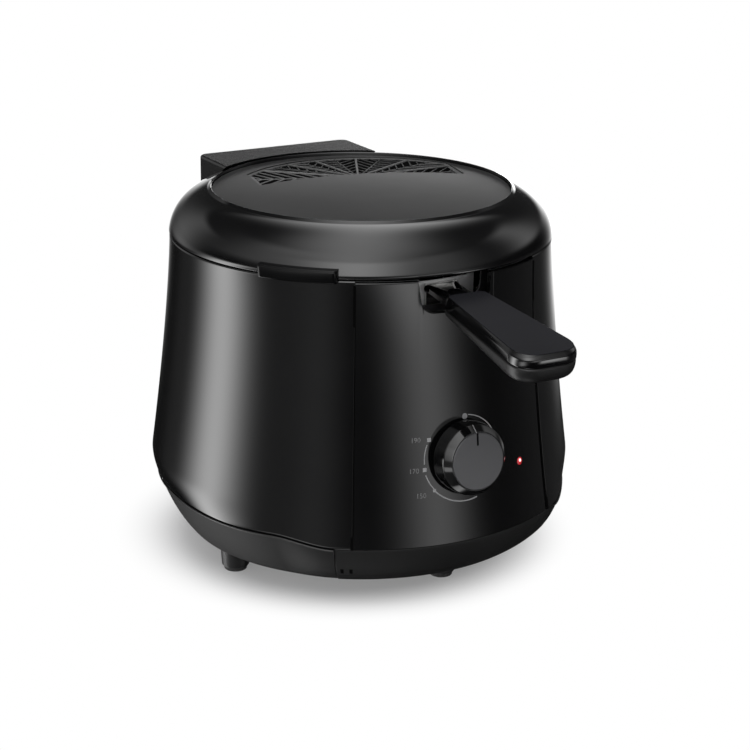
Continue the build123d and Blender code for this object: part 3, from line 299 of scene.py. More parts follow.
def rounded(corners: np.ndarray, radii: np.ndarray | list[float], steps: int = 7) -> np.ndarray:
    """Outline whose corners give way to quadratic curves that start and end a radius from the corner.

    Args:
        corners: Corner points of a closed outline.
        radii: Radius at each corner, 0 where it stays sharp.
        steps: Points on each round corner.

    Returns:
        Points of the rounded outline in order, without repeats.
    """
    reach = np.asarray(radii, float)[:, None]
    before = np.roll(corners, 1, 0) - corners
    after = np.roll(corners, -1, 0) - corners
    start = corners + before / np.linalg.norm(before, axis=1, keepdims=True) * reach
    end = corners + after / np.linalg.norm(after, axis=1, keepdims=True) * reach
    share = np.linspace(0.0, 1.0, steps)[None, :, None]
    rest = 1 - share
    curve = rest**2 * start[:, None] + 2 * share * rest * corners[:, None] + share**2 * end[:, None]
    points = curve.reshape(-1, corners.shape[1])
    return points[np.linalg.norm(points - np.roll(points, 1, 0), axis=1) > 1e-7]


def bent(start: Point, turn: Point, end: Point, steps: int) -> np.ndarray:
    """Quadratic curve from a start to an end that leans towards a turning point.

    Args:
        start: First point.
        turn: Point that the curve leans towards.
        end: Last point.
        steps: Points on the curve.

    Returns:
        The curve's points in order.
    """
    share = np.linspace(0.0, 1.0, steps)[:, None]
    low, middle, high = (np.asarray(point, float) for point in (start, turn, end))
    return (1 - share) ** 2 * low + 2 * share * (1 - share) * middle + share**2 * high


def crowded(low: float, high: float, count: int) -> np.ndarray:
    """Values between two limits that crowd towards both, as a cosine."""
    return low + (high - low) * (0.5 - 0.5 * np.cos(np.linspace(0.0, np.pi, count)))


def mesh_object(name: str, points: np.ndarray, faces: list[list[int]]) -> bpy.types.Object:
    """Linked object from points and faces, welded and faced outwards.

    Args:
        name: The object's name.
        points: Points as rows of three.
        faces: Indices of each face's points.

    Returns:
        The object, at the origin.
    """
    mesh = bpy.data.meshes.new(name)
    mesh.from_pydata(points.reshape(-1, 3).tolist(), [], faces)
    shape = bmesh.new()
    shape.from_mesh(mesh)
    bmesh.ops.remove_doubles(shape, verts=shape.verts, dist=1e-7)
    bmesh.ops.recalc_face_normals(shape, faces=shape.faces)
    shape.to_mesh(mesh)
    shape.free()
    mesh.polygons.foreach_set("use_smooth", np.ones(len(mesh.polygons), bool))
    mesh.set_sharp_from_angle(angle=SHARP_EDGE)
    made = bpy.data.objects.new(name, mesh)
    bpy.context.scene.collection.objects.link(made)
    return made


def surface(
    name: str, grid: np.ndarray, round_u: bool = False, round_v: bool = False, caps: bool = False
) -> bpy.types.Object:
    """Mesh of quads over a grid of points.

    Args:
        name: The object's name.
        grid: Points as rows by columns by three.
        round_u: True where the last column joins the first.
        round_v: True where the last row joins the first.
        caps: True to close the first and last rows with a face each.

    Returns:
        The linked object at the origin.
    """
    rows, columns = grid.shape[:2]
    index = np.arange(rows * columns).reshape(rows, columns)
    ends = [index[0].tolist(), index[-1].tolist()] if caps else []
    if round_u:
        index = np.concatenate([index, index[:, :1]], 1)
    if round_v:
        index = np.concatenate([index, index[:1]], 0)
    quads = np.stack([index[:-1, :-1], index[:-1, 1:], index[1:, 1:], index[1:, :-1]], -1).reshape(-1, 4)
    return mesh_object(name, grid, quads.tolist() + ends)


def tubes(name: str, paths: np.ndarray, aside: np.ndarray, radius: float, sides: int = 6) -> bpy.types.Object:
    """Round wires along many paths: a ring of points about each path point, square to the path.

    Args:
        name: The object's name.
        paths: Points as wires by stations by three.
        aside: Direction that is never along a wire, one for each wire or station.
        radius: The wires' radius.
        sides: Sides of a wire's section.

    Returns:
        The linked object at the origin.
    """
    along = np.gradient(paths, axis=1)
    along /= np.linalg.norm(along, axis=-1, keepdims=True)
    first = np.cross(along, aside)
    first /= np.linalg.norm(first, axis=-1, keepdims=True)
    second = np.cross(along, first)
    turn = np.linspace(0.0, 2.0 * np.pi, sides, endpoint=False)[:, None]
    ring = first[:, :, None] * np.cos(turn) + second[:, :, None] * np.sin(turn)
    points = paths[:, :, None] + radius * ring
    index = np.arange(points[..., 0].size).reshape(points.shape[:3])
    caps = np.concatenate([index[:, 0], index[:, -1]]).tolist()
    index = np.concatenate([index, index[:, :, :1]], 2)
    corners = [index[:, :-1, :-1], index[:, :-1, 1:], index[:, 1:, 1:], index[:, 1:, :-1]]
    return mesh_object(name, points, np.stack(corners, -1).reshape(-1, 4).tolist() + caps)


def bars(
    name: str, start: np.ndarray, end: np.ndarray, width: float, low: float, high: float
) -> bpy.types.Object:
    """Straight bars that narrow towards the top: four corners at each end of each bar.

    Args:
        name: The object's name.
        start: Plan points where the bars start.
        end: Plan points where they end.
        width: Width of a bar at its foot.
        low: Height of the foot.
        high: Height of the top.

    Returns:
        The linked object at the origin.
    """
    along = (end - start) / np.linalg.norm(end - start, axis=1, keepdims=True)
    aside = np.stack([-along[:, 1], along[:, 0]], -1) * width / 2.0
    reach = np.array([-1.0, 1.0, 0.55, -0.55])[None, None, :, None]
    plan = np.stack([start, end], 1)[:, :, None] + aside[:, None, None] * reach
    height = np.broadcast_to(np.array([low, low, high, high])[None, None, :, None], (*plan.shape[:3], 1))
    points = np.concatenate([plan, height], -1)
    near, far = np.moveaxis(np.arange(points[..., 0].size).reshape(points.shape[:3]), 1, 0)
    sides = np.stack([near, np.roll(near, -1, 1), np.roll(far, -1, 1), far], -1).reshape(-1, 4)
    return mesh_object(name, points, np.concatenate([sides, near, far]).tolist())


def finish_piece(piece: bpy.types.Object, body: Body, finish: Finish, slot: str, *nodes: str) -> None:
    """Dress a new piece and tie it to the frame.

    Args:
        piece: The piece, in its place.
        body: The body that it rides on.
        finish: Its finish.
        slot: Not used.
        nodes: Nodes of the frame that it stands for.
    """
    piece.data.materials.append(finish.material())
    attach(piece, body.value)
    if nodes:
        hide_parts(*nodes)
    LOG.info("built %s in %s on %s", piece.name, finish.name, body.value)


@dataclass(frozen=True)
class PotAxis:
    """Upright axis of the pot, which the round pieces turn about."""

    y: float

    def at(self, radius: Numbers, azimuth: Numbers, height: Numbers) -> np.ndarray:
        """Points at radii, azimuths and heights, broadcast together."""
        x, y = radius * np.sin(np.radians(azimuth)), self.y - radius * np.cos(np.radians(azimuth))
        return np.stack(np.broadcast_arrays(x, y, height), -1)

    def lathe(self, name: str, profile: np.ndarray, stations: int = 256) -> bpy.types.Object:
        """Closed profile of radius and height turned right round the axis."""
        azimuth = np.linspace(0.0, 360.0, stations, endpoint=False)[:, None]
        return surface(name, self.at(profile[None, :, 0], azimuth, profile[None, :, 1]), True, True)


@dataclass
class HousingWall:
    """Round wall of the housing, ledges behind the panel's edges, and the tray with its lip and screws."""

    axis: PotAxis
    rim_radius: float = 112.0 * MM
    belly_radius: float = 124.8 * MM
    top: float = 193.7 * MM
    belly: float = 64.0 * MM
    flare_power: float = 1.4
    seam: float = 48.5 * MM
    tuck: float = 5.6 * MM
    tuck_power: float = 1.6
    tuck_left: tuple[float, float] = (55.0, 95.0)
    tuck_right: tuple[float, float] = (34.0, 62.0)
    step_azimuth: float = 43.0
    step_half: float = 8.2
    step_drop: float = 4.5 * MM
    wall: float = 2.5 * MM
    edge_azimuth: float = 30.5
    skirt_azimuth: float = 35.0
    edge_length: float = 0.1 * MM
    edge_depth: float = 0.1 * MM
    low_round: float = 1.2 * MM
    top_round: float = 0.8 * MM
    ledge_azimuths: tuple[float, float] = (28.0, 36.5)
    ledge_depth: float = 2.8 * MM
    ledge_short: float = 4.0 * MM
    lip_radius: float = 0.45 * MM
    lip_stand: float = 0.25 * MM
    lip_drop: float = 0.5 * MM
    tray_low: float = 16.0 * MM
    tray_floor: float = 103.0 * MM
    tray_turn: tuple[float, float] = (114.1 * MM, 27.7 * MM)
    tray_gap: float = 0.4 * MM
    tray_inset: float = 0.1 * MM
    tray_edge: tuple[float, float] = (1.5 * MM, 2.0 * MM)
    front_floor: float = 109.5 * MM
    front_low: float = 18.7 * MM
    front_turn: tuple[float, float] = (122.9 * MM, 27.7 * MM)
    set_back: float = 4.5 * MM
    screw_azimuths: tuple[float, ...] = (-123.0, -57.0, 57.0, 123.0)
    screw_reach: float = 90.0 * MM
    screw_radius: float = 3.5 * MM
    screw_depth: float = 1.6 * MM

    def beside(self, azimuth: Numbers) -> np.ndarray:
        """Share of the way round from the panel's edge, 0, to the side, 1."""
        away = np.abs((azimuth + 180.0) % 360.0 - 180.0)
        return ease(away, self.step_azimuth - self.step_half, self.step_azimuth + self.step_half)

    def radius(self, height: Numbers, azimuth: Numbers) -> np.ndarray:
        """Wall radius: a power of the fall from the rim, and at the sides another power tucking in below.

        Args:
            height: Heights on the wall.
            azimuth: Degrees from the front.

        Returns:
            Radii of the outer face.
        """
        fall = np.clip((self.top - height) / (self.top - self.belly), 0.0, None)
        below = np.clip((self.belly - height) / (self.belly - self.seam), 0.0, None)
        flare = (self.belly_radius - self.rim_radius) * fall**self.flare_power
        turn = (azimuth + 180.0) % 360.0 - 180.0
        share = np.where(turn < 0.0, ease(-turn, *self.tuck_left), ease(turn, *self.tuck_right))
        return self.rim_radius + flare - self.tuck * share * below**self.tuck_power

    def low_edge(self, azimuth: Numbers) -> np.ndarray:
        """Height of the lower edge: level round the back and easing down beside the panel."""
        return self.seam - self.step_drop * (1.0 - self.beside(azimuth))

    def build(self) -> None:
        """Make the wall, the ledges behind the panel's edges, the tray and its lip."""
        self._wall()
        for side in (-1.0, 1.0):
            self._ledge(side)
        self._lip()
        self._tray()

    def _wall(self) -> None:
        """Outer and inner skins over azimuth and height, with the edges rounded off by their distance."""
        azimuth = crowded(self.edge_azimuth, 360.0 - self.edge_azimuth, 361)[:, None]
        low = self.low_edge(azimuth)
        outer = low + (self.top - low) * crowded(0.0, 1.0, 61)[None]
        from_end = np.minimum(azimuth - self.edge_azimuth, 360.0 - self.edge_azimuth - azimuth)
        drop = round_over(np.radians(from_end) * self.belly_radius, self.edge_length, self.edge_depth)
        drop = drop + round_over(outer - low, self.low_round, self.low_round)
        drop = drop + round_over(self.top - outer, self.top_round, self.top_round)
        drop = np.minimum(drop, DEEPEST_ROUND * self.wall)
        inner = outer[:, ::-1]
        radius = [self.radius(outer, azimuth) - drop, self.radius(inner, azimuth) - self.wall]
        radius = np.concatenate(radius, 1)
        grid = self.axis.at(radius, azimuth, np.concatenate([outer, inner], 1))
        piece = surface("housing_wall", grid, True, caps=True)
        finish_piece(piece, Body.HOUSING, GLOSS_BLACK, "gloss_black", "body_shell")

    def _ledge(self, side: float) -> None:
        """Strip behind the gap between the wall and the panel, following the wall.

        Args:
            side: Minus one for the left edge, one for the right.
        """
        azimuth = side * np.linspace(*self.ledge_azimuths, 18)[:, None]
        height = np.linspace(self.belly, self.top - self.ledge_short, 41)
        loop = np.concatenate([height, height[::-1]])[None]
        depth = np.repeat([self.ledge_depth, self.ledge_depth + self.wall], height.size)[None]
        grid = self.axis.at(self.radius(loop, azimuth) - depth, azimuth, loop)
        name = "panel_ledge_left" if side < 0 else "panel_ledge_right"
        piece = surface(name, grid, True, caps=True)
        finish_piece(piece, Body.HOUSING, SATIN_BLACK, "satin_black", "body_shell")

    def _lip(self) -> None:
        """Bead along the tray's upper edge: a circle swept round below the wall's lower edge."""
        azimuth = crowded(self.skirt_azimuth + 0.2, 359.8 - self.skirt_azimuth, 481)[:, None]
        low = self.low_edge(azimuth)
        turn = np.linspace(0.0, 2.0 * np.pi, 12, endpoint=False)[None]
        radius = self.radius(low, azimuth) + self.lip_stand + self.lip_radius * np.cos(turn)
        grid = self.axis.at(radius, azimuth, low - self.lip_drop + self.lip_radius * np.sin(turn))
        finish_piece(surface("tray_lip", grid, True, caps=True), Body.HOUSING, SATIN_GREY, "satin_black")

    def _tray(self) -> None:
        """Tray: a quadratic curve from floor to seam, turned round the axis, with screws under its floor.

        It is fuller beside the panel than at the sides, and set back behind the panel.
        """
        azimuth = np.linspace(0.0, 360.0, 721)[:-1, None]
        side = self.beside(azimuth)
        high = self.low_edge(azimuth) - self.tray_gap
        share = np.linspace(0.0, 1.0, 25)[None]
        parts = ((1.0 - share) ** 2, 2.0 * share * (1.0 - share), share**2)
        foot = self.front_floor + (self.tray_floor - self.front_floor) * side
        turn = self.front_turn[0] + (self.tray_turn[0] - self.front_turn[0]) * side
        brim = self.radius(high, azimuth) - self.tray_inset
        radius = parts[0] * foot + parts[1] * turn + parts[2] * brim
        under = self.front_low + (self.tray_low - self.front_low) * side
        height = parts[0] * under + parts[1] * self.tray_turn[1] + parts[2] * high
        away = np.abs((azimuth + 180.0) % 360.0 - 180.0)
        behind = 1.0 - ease(away, self.skirt_azimuth - 0.8, self.skirt_azimuth - 0.2)
        radius = radius - self.set_back * behind
        inner = np.maximum(height[:, ::-1], under + self.wall)
        floor = np.zeros_like(azimuth)
        edge = round_over(height - under, *self.tray_edge)
        loop = [floor, radius - edge, radius[:, ::-1] - self.wall, floor]
        level = [floor + self.tray_low, height, inner, floor + self.tray_low + self.wall]
        grid = self.axis.at(np.concatenate(loop, 1), azimuth, np.concatenate(level, 1))
        piece = surface("tray_shell", grid, round_v=True)
        finish_piece(piece, Body.HOUSING, TRAY_BLACK, "satin_black", "base_tray")
        for count, place in enumerate(self.screw_azimuths):
            self._screw(count + 1, place)

    def _screw(self, count: int, place: float) -> None:
        """Screw head under the tray: a low dome, closed above inside the floor.

        Args:
            count: The screw's number.
            place: Its azimuth.
        """
        reach = self.screw_radius * np.array([0.0, 1.0, 1.0, 0.8, 0.0])[:, None]
        depth = self.screw_depth * np.array([-0.3, -0.3, 0.6, 1.0, 1.0])[:, None]
        turn = np.linspace(0.0, 2.0 * np.pi, 32, endpoint=False)[None]
        middle = self.axis.at(self.screw_reach, place, self.tray_low)
        across, along = reach * np.sin(turn), reach * np.cos(turn)
        grid = middle + np.stack(np.broadcast_arrays(across, along, -depth), -1)
        piece = surface(f"tray_screw_{count}", grid, True)
        finish_piece(piece, Body.HOUSING, PLATED, "plated_screw", "base_screws")


@dataclass
class FrontPanel:
    """Glossy control panel with the handle's notch, and the satin skirt that it stands on."""

    axis: PotAxis
    top_radius: float = 112.3 * MM
    crease_radius: float = 127.0 * MM
    rim: float = 193.7 * MM
    crease: float = 44.2 * MM
    top: float = 192.5 * MM
    flare_power: float = 1.65
    half_angle: float = 30.4
    skirt_half: float = 34.8
    edge_length: float = 0.1 * MM
    edge_depth: float = 0.1 * MM
    edge_round: float = 0.3 * MM
    wall: float = 3.0 * MM
    notch_half: float = 22.0 * MM
    notch_shift: float = 2.2 * MM
    notch_low: float = 174.7 * MM
    notch_corner: float = 9.0 * MM
    skirt_radius: float = 109.5 * MM
    skirt_low: float = 18.7 * MM
    skirt_turn: tuple[float, float] = (122.9 * MM, 27.1 * MM)
    lip_radius: float = 126.7 * MM
    lip_high: float = 43.9 * MM
    lip_height: float = 1.2 * MM
    lip_depth: float = 4.0 * MM
    lip_round: float = 0.6 * MM
    slot_azimuths: tuple[float, float] = (-33.2, -30.8)
    slot_size: tuple[float, float] = (1.8 * MM, 3.8 * MM)
    slot_height: float = 28.0 * MM
    slot_proud: float = 0.08 * MM
    slot_depth: float = 0.3 * MM
    seam_azimuths: tuple[float, float] = (30.2, 30.9)
    seam_short: float = 1.5 * MM
    seam_proud: tuple[float, float] = (0.2 * MM, 0.58 * MM)
    seam_sunk: float = 0.6 * MM

    def radius(self, height: Numbers) -> np.ndarray:
        """Radius of the face: a power of the fall from the rim to the crease."""
        fall = np.clip((self.rim - height) / (self.rim - self.crease), 0.0, 1.0)
        return self.top_radius + (self.crease_radius - self.top_radius) * fall**self.flare_power

    def top_edge(self, azimuth: np.ndarray) -> np.ndarray:
        """Height of the upper edge: level, with the notch's floor and round corners in the middle.

        Args:
            azimuth: Degrees from the front.

        Returns:
            Heights of the edge.
        """
        across = np.abs(self.top_radius * np.sin(np.radians(azimuth)) + self.notch_shift)
        into = np.clip(across - self.notch_half + self.notch_corner, 0.0, self.notch_corner)
        floor = self.notch_low + self.notch_corner - np.sqrt(self.notch_corner**2 - into**2)
        return np.where(across < self.notch_half, floor, self.top)

    def build(self) -> None:
        """Make the face, the skirt, the painted shade at the face's joints and in the skirt's two vents."""
        self._face()
        self._skirt()
        self._painted_seam_shade("panel_seam_shade_left", -1.0)
        self._painted_seam_shade("panel_seam_shade_right", 1.0)
        for count, azimuth in enumerate(self.slot_azimuths):
            self._slot(count, azimuth)

    def _stations(self) -> np.ndarray:
        """Azimuths across the panel, crowded at its ends and at the notch's sides.

        Returns:
            The azimuths in order, from left to right.
        """
        side = np.degrees(np.arcsin(self.notch_half / self.top_radius))
        beside = side + np.degrees(np.linspace(0.0, self.edge_round, 6) / self.top_radius)
        bend = 1.0 - np.sin(np.linspace(0.0, 1.57, 14))
        corner = side - np.degrees(self.notch_corner / self.top_radius) * bend
        half = np.concatenate([beside, corner, self.half_angle * np.sin(np.linspace(0.0, np.pi / 2.0, 48))])
        return np.unique(np.round(np.concatenate([half, -half]), 4))

    def _face(self) -> None:
        """Outer and inner skins from crease to upper edge, rounded off by the distance to each edge."""
        azimuth = self._stations()[:, None]
        high = self.top_edge(azimuth)
        outer = self.crease + (high - self.crease) * crowded(0.0, 1.0, 61)[None]
        across = np.abs(self.top_radius * np.sin(np.radians(azimuth)))
        beside = (across >= self.notch_half) & (outer > self.notch_low)
        aside = np.where(beside, across - self.notch_half, 1.0)
        from_end = np.radians(self.half_angle - np.abs(azimuth)) * self.crease_radius
        drop = round_over(from_end, self.edge_length, self.edge_depth)
        drop = drop + round_over(np.minimum(high - outer, aside), self.edge_round, self.edge_round)
        drop = drop + round_over(outer - self.crease, self.edge_depth, self.edge_depth)
        inner = outer[:, ::-1]
        drop = np.minimum(drop, DEEPEST_ROUND * self.wall)
        radius = [self.radius(outer) - drop, self.radius(inner) - self.wall]
        grid = self.axis.at(np.concatenate(radius, 1), azimuth, np.concatenate([outer, inner], 1))
        piece = surface("front_panel_face", grid, True, caps=True)
        finish_piece(piece, Body.HOUSING, GLOSS_BLACK, "gloss_black", "front_panel")

    def skirt(self, inset: float, steps: int) -> np.ndarray:
        """Curve of the skirt in radius and height, from its foot to below its lip.

        Args:
            inset: How far the curve is drawn in.
            steps: Points on the curve.

        Returns:
            Radii and heights as rows of two.
        """
        foot = (self.skirt_radius - inset, self.skirt_low)
        turn = (self.skirt_turn[0] - inset, self.skirt_turn[1])
        return bent(foot, turn, (self.lip_radius - inset, self.lip_high - self.lip_height), steps)

    def _skirt(self) -> None:
        """Skirt's section, its lip rounded, swept across the front and drawn in at its ends."""
        lip = np.array([
            [self.lip_radius, self.lip_high], [self.lip_radius - self.lip_depth, self.lip_high],
            [self.lip_radius - self.lip_depth, self.lip_high - self.lip_height],
        ])
        outer = self.skirt(0.0, 25)
        corners = np.concatenate([outer, lip, self.skirt(self.wall, 25)[-2::-1]])
        radii = np.zeros(len(corners))
        radii[len(outer)] = self.lip_round
        section = rounded(corners, radii)[None]
        azimuth = crowded(-self.skirt_half, self.skirt_half, 121)[:, None]
        from_end = np.radians(self.skirt_half - np.abs(azimuth)) * self.crease_radius
        drop = round_over(from_end, self.edge_round, self.edge_round)
        grid = self.axis.at(section[..., 0] - drop, azimuth, section[..., 1])
        piece = surface("front_panel_skirt", grid, True, caps=True)
        finish_piece(piece, Body.HOUSING, TRAY_BLACK, "satin_black", "front_panel")

    def _painted_seam_shade(self, name: str, side: float) -> None:
        """Painted shade on the panel-to-wall joint: the face's curve, a hair proud, swept upright.

        Args:
            name: The piece's name.
            side: Minus one for the left edge, one for the right.
        """
        height = np.linspace(self.crease, self.top - self.seam_short, 60)[:, None]
        turn = side * np.array([*self.seam_azimuths, *self.seam_azimuths[::-1]])[None]
        fall = (self.rim - height) / (self.rim - self.crease)
        proud = self.seam_proud[0] + self.seam_proud[1] * fall**2
        sunk = np.full_like(proud, -self.seam_sunk)
        stand = np.concatenate([proud, proud, sunk, sunk], 1)
        grid = self.axis.at(self.radius(height) + stand, turn, height)
        # Painted shade: a black strip in place of the shade in the gap beside the panel.
        finish_piece(surface(name, grid, True, caps=True), Body.HOUSING, PAINTED_SHADE_BLACK, "rubber")

    def _slot(self, count: int, azimuth: float) -> None:
        """Painted shade for an upright slot in the skirt: a thin plate a hair in front of the skirt's curve.

        Args:
            count: The slot's place in order, from 0.
            azimuth: Its azimuth.
        """
        curve = self.skirt(0.0, 200)
        height = self.slot_height + self.slot_size[1] * np.linspace(-0.5, 0.5, 9)
        outer = np.interp(height, curve[:, 1], curve[:, 0]) + self.slot_proud
        half = np.degrees(self.slot_size[0] / 2.0 / self.skirt_turn[0])
        turn = azimuth + half * np.array([-1.0, 1.0, 1.0, -1.0])
        depth = np.array([0.0, 0.0, self.slot_depth, self.slot_depth])
        grid = self.axis.at(outer[:, None] - depth[None], turn[None], height[:, None])
        piece = surface(f"skirt_slot_shade_{count + 1}", grid, True, caps=True)
        # Painted shade: the plate is black where the slot's opening is dark.
        finish_piece(piece, Body.HOUSING, PAINTED_SHADE_BLACK, "satin_black")


@dataclass
class DialPrint:
    """Marks and numbers round the knob, printed on the panel's face."""

    panel: FrontPanel
    centre: float = 92.0 * MM
    ring: float = 24.3 * MM
    line: float = 0.55 * MM
    lift: float = 0.03 * MM
    thick: float = 0.05 * MM
    numbers: tuple[tuple[str, float, float], ...] = (
        ("190", -26.2, 11.0), ("170", -27.4, -6.2), ("150", -23.6, -20.4),
    )
    number_height: float = 3.9 * MM

    def wrap(self, across: np.ndarray, rise: np.ndarray, lift: Numbers) -> np.ndarray:
        """Points on the face at distances across and up from the dial's centre, lifted off it.

        Args:
            across: Distances to the right.
            rise: Distances up.
            lift: Heights off the face.

        Returns:
            Points in the frame.
        """
        height = self.centre + rise
        azimuth = np.degrees(across / self.panel.radius(self.centre))
        return self.panel.axis.at(self.panel.radius(height) + lift, azimuth, height)

    def build(self) -> None:
        """Print the arcs, the marks and the numbers."""
        self._arc("dial_arc_warm", 9.0, 92.0, self.ring - 1.2 * MM, self.line)
        self._arc("dial_arc_low", -134.0, -196.0, self.ring + 1.0 * MM, 1.3 * self.line)
        self._arc("dial_arc_middle", -108.0, -130.0, self.ring + 0.6 * MM, self.line)
        self._arc("dial_arc_high", -68.0, -94.0, self.ring, self.line)
        self._dot("dial_dot", 3.5, self.ring - 2.0 * MM, 1.7 * MM, 24)
        self._dot("dial_mark_high", -61.0, self.ring, 1.6 * MM, 4)
        self._dot("dial_mark_middle", -101.0, self.ring + 0.3 * MM, 1.6 * MM, 4)
        self._dot("dial_mark_low", -132.0, self.ring + 1.0 * MM, 1.2 * MM, 4)
        for text, right, rise in self.numbers:
            self._number(text, right * MM, rise * MM)

    def _arc(self, name: str, start: float, end: float, radius: float, width: float) -> None:
        """Thin line along an arc round the knob, degrees clockwise from the top.

        Args:
            name: The piece's name.
            start: Angle at which the line starts.
            end: Angle at which it ends.
            radius: Radius of the line's middle.
            width: The line's width.
        """
        turn = np.radians(np.linspace(start, end, 64))[:, None]
        reach = radius + width * np.array([-0.5, 0.5, 0.5, -0.5])[None]
        lift = self.lift + self.thick * np.array([0.0, 0.0, 1.0, 1.0])[None]
        grid = self.wrap(reach * np.sin(turn), reach * np.cos(turn), lift)
        finish_piece(surface(name, grid, True, caps=True), Body.HOUSING, PALE_PRINT, "pale_mark")

    def _dot(self, name: str, place: float, radius: float, size: float, sides: int) -> None:
        """Round or square mark: rings of points that close in on its middle.

        Args:
            name: The piece's name.
            place: Degrees clockwise from the top.
            radius: Distance from the dial's centre.
            size: Distance from the mark's middle to its corners.
            sides: Sides of the mark.
        """
        turn = np.linspace(0.0, 2.0 * np.pi, sides, endpoint=False)[None] + np.pi / sides
        reach = size * np.array([1.0, 1.0, 0.0])[:, None]
        lift = self.lift + self.thick * np.array([0.0, 1.0, 1.0])[:, None]
        middle = radius * np.array([np.sin(np.radians(place)), np.cos(np.radians(place))])
        grid = self.wrap(middle[0] + reach * np.sin(turn), middle[1] + reach * np.cos(turn), lift)
        finish_piece(surface(name, grid, True), Body.HOUSING, PALE_PRINT, "pale_mark")

    def _number(self, text: str, right: float, rise: float) -> None:
        """Number whose letters are made a flat mesh and then wrapped on the face.

        Args:
            text: The number.
            right: Where its right end stands, from the dial's centre.
            rise: Height of its foot above the dial's centre.
        """
        name = f"dial_number_{text}"
        words = bpy.data.curves.new(name, "FONT")
        words.body = text
        words.size = self.number_height
        words.align_x = "RIGHT"
        holder = bpy.data.objects.new(name, words)
        bpy.context.scene.collection.objects.link(holder)
        mesh = bpy.data.meshes.new_from_object(holder.evaluated_get(bpy.context.evaluated_depsgraph_get()))
        bpy.data.objects.remove(holder)
        flat = np.empty(len(mesh.vertices) * 3)
        mesh.vertices.foreach_get("co", flat)
        flat = flat.reshape(-1, 3)
        wrapped = self.wrap(right + flat[:, 0], rise + flat[:, 1], self.lift + self.thick)
        mesh.vertices.foreach_set("co", wrapped.ravel())
        piece = bpy.data.objects.new(name, mesh)
        bpy.context.scene.collection.objects.link(piece)
        finish_piece(piece, Body.HOUSING, DIM_PRINT, "pale_mark")


@dataclass
class Lamp:
    """Pilot lamp: a small red dome with a glowing core."""

    panel: FrontPanel
    azimuth: float = 19.5
    height: float = 80.0 * MM
    lens_radius: float = 2.2 * MM
    lens_stand: float = 0.5 * MM
    core_radius: float = 1.2 * MM
    core_stand: float = 0.75 * MM
    core_rise: float = 0.4 * MM
    root: float = 0.4 * MM

    def build(self) -> None:
        """Make the lens and the core."""
        self._dome("lamp_dome", self.lens_radius, self.lens_stand, 0.0, RED_LENS, "lamp_lens")
        self._dome("lamp_glow", self.core_radius, self.core_stand, self.core_rise, LAMP_CORE)

    def _dome(self, name: str, radius: float, stand: float, rise: float, finish: Finish, *nodes: str) -> None:
        """Low dome on the panel: rings whose height falls off with the square of their radius.

        Args:
            name: The piece's name.
            radius: The dome's radius.
            stand: Its height off the panel.
            rise: How far it sits above the lamp's middle.
            finish: Its finish.
            nodes: Nodes of the frame that it stands for.
        """
        rings = np.linspace(0.0, 1.0, 9)
        share = np.concatenate([rings, [1.0, 0.0]])[:, None]
        out = np.concatenate([stand * (1.0 - rings**2), [-self.root, -self.root]])[:, None]
        turn = np.linspace(0.0, 2.0 * np.pi, 32, endpoint=False)[None]
        height = self.height + rise + radius * share * np.cos(turn)
        face = self.panel.radius(height)
        azimuth = self.azimuth + np.degrees(radius * share * np.sin(turn) / face)
        piece = surface(name, self.panel.axis.at(face + out, azimuth, height), True)
        finish_piece(piece, Body.HOUSING, finish, "red_lens", *nodes)


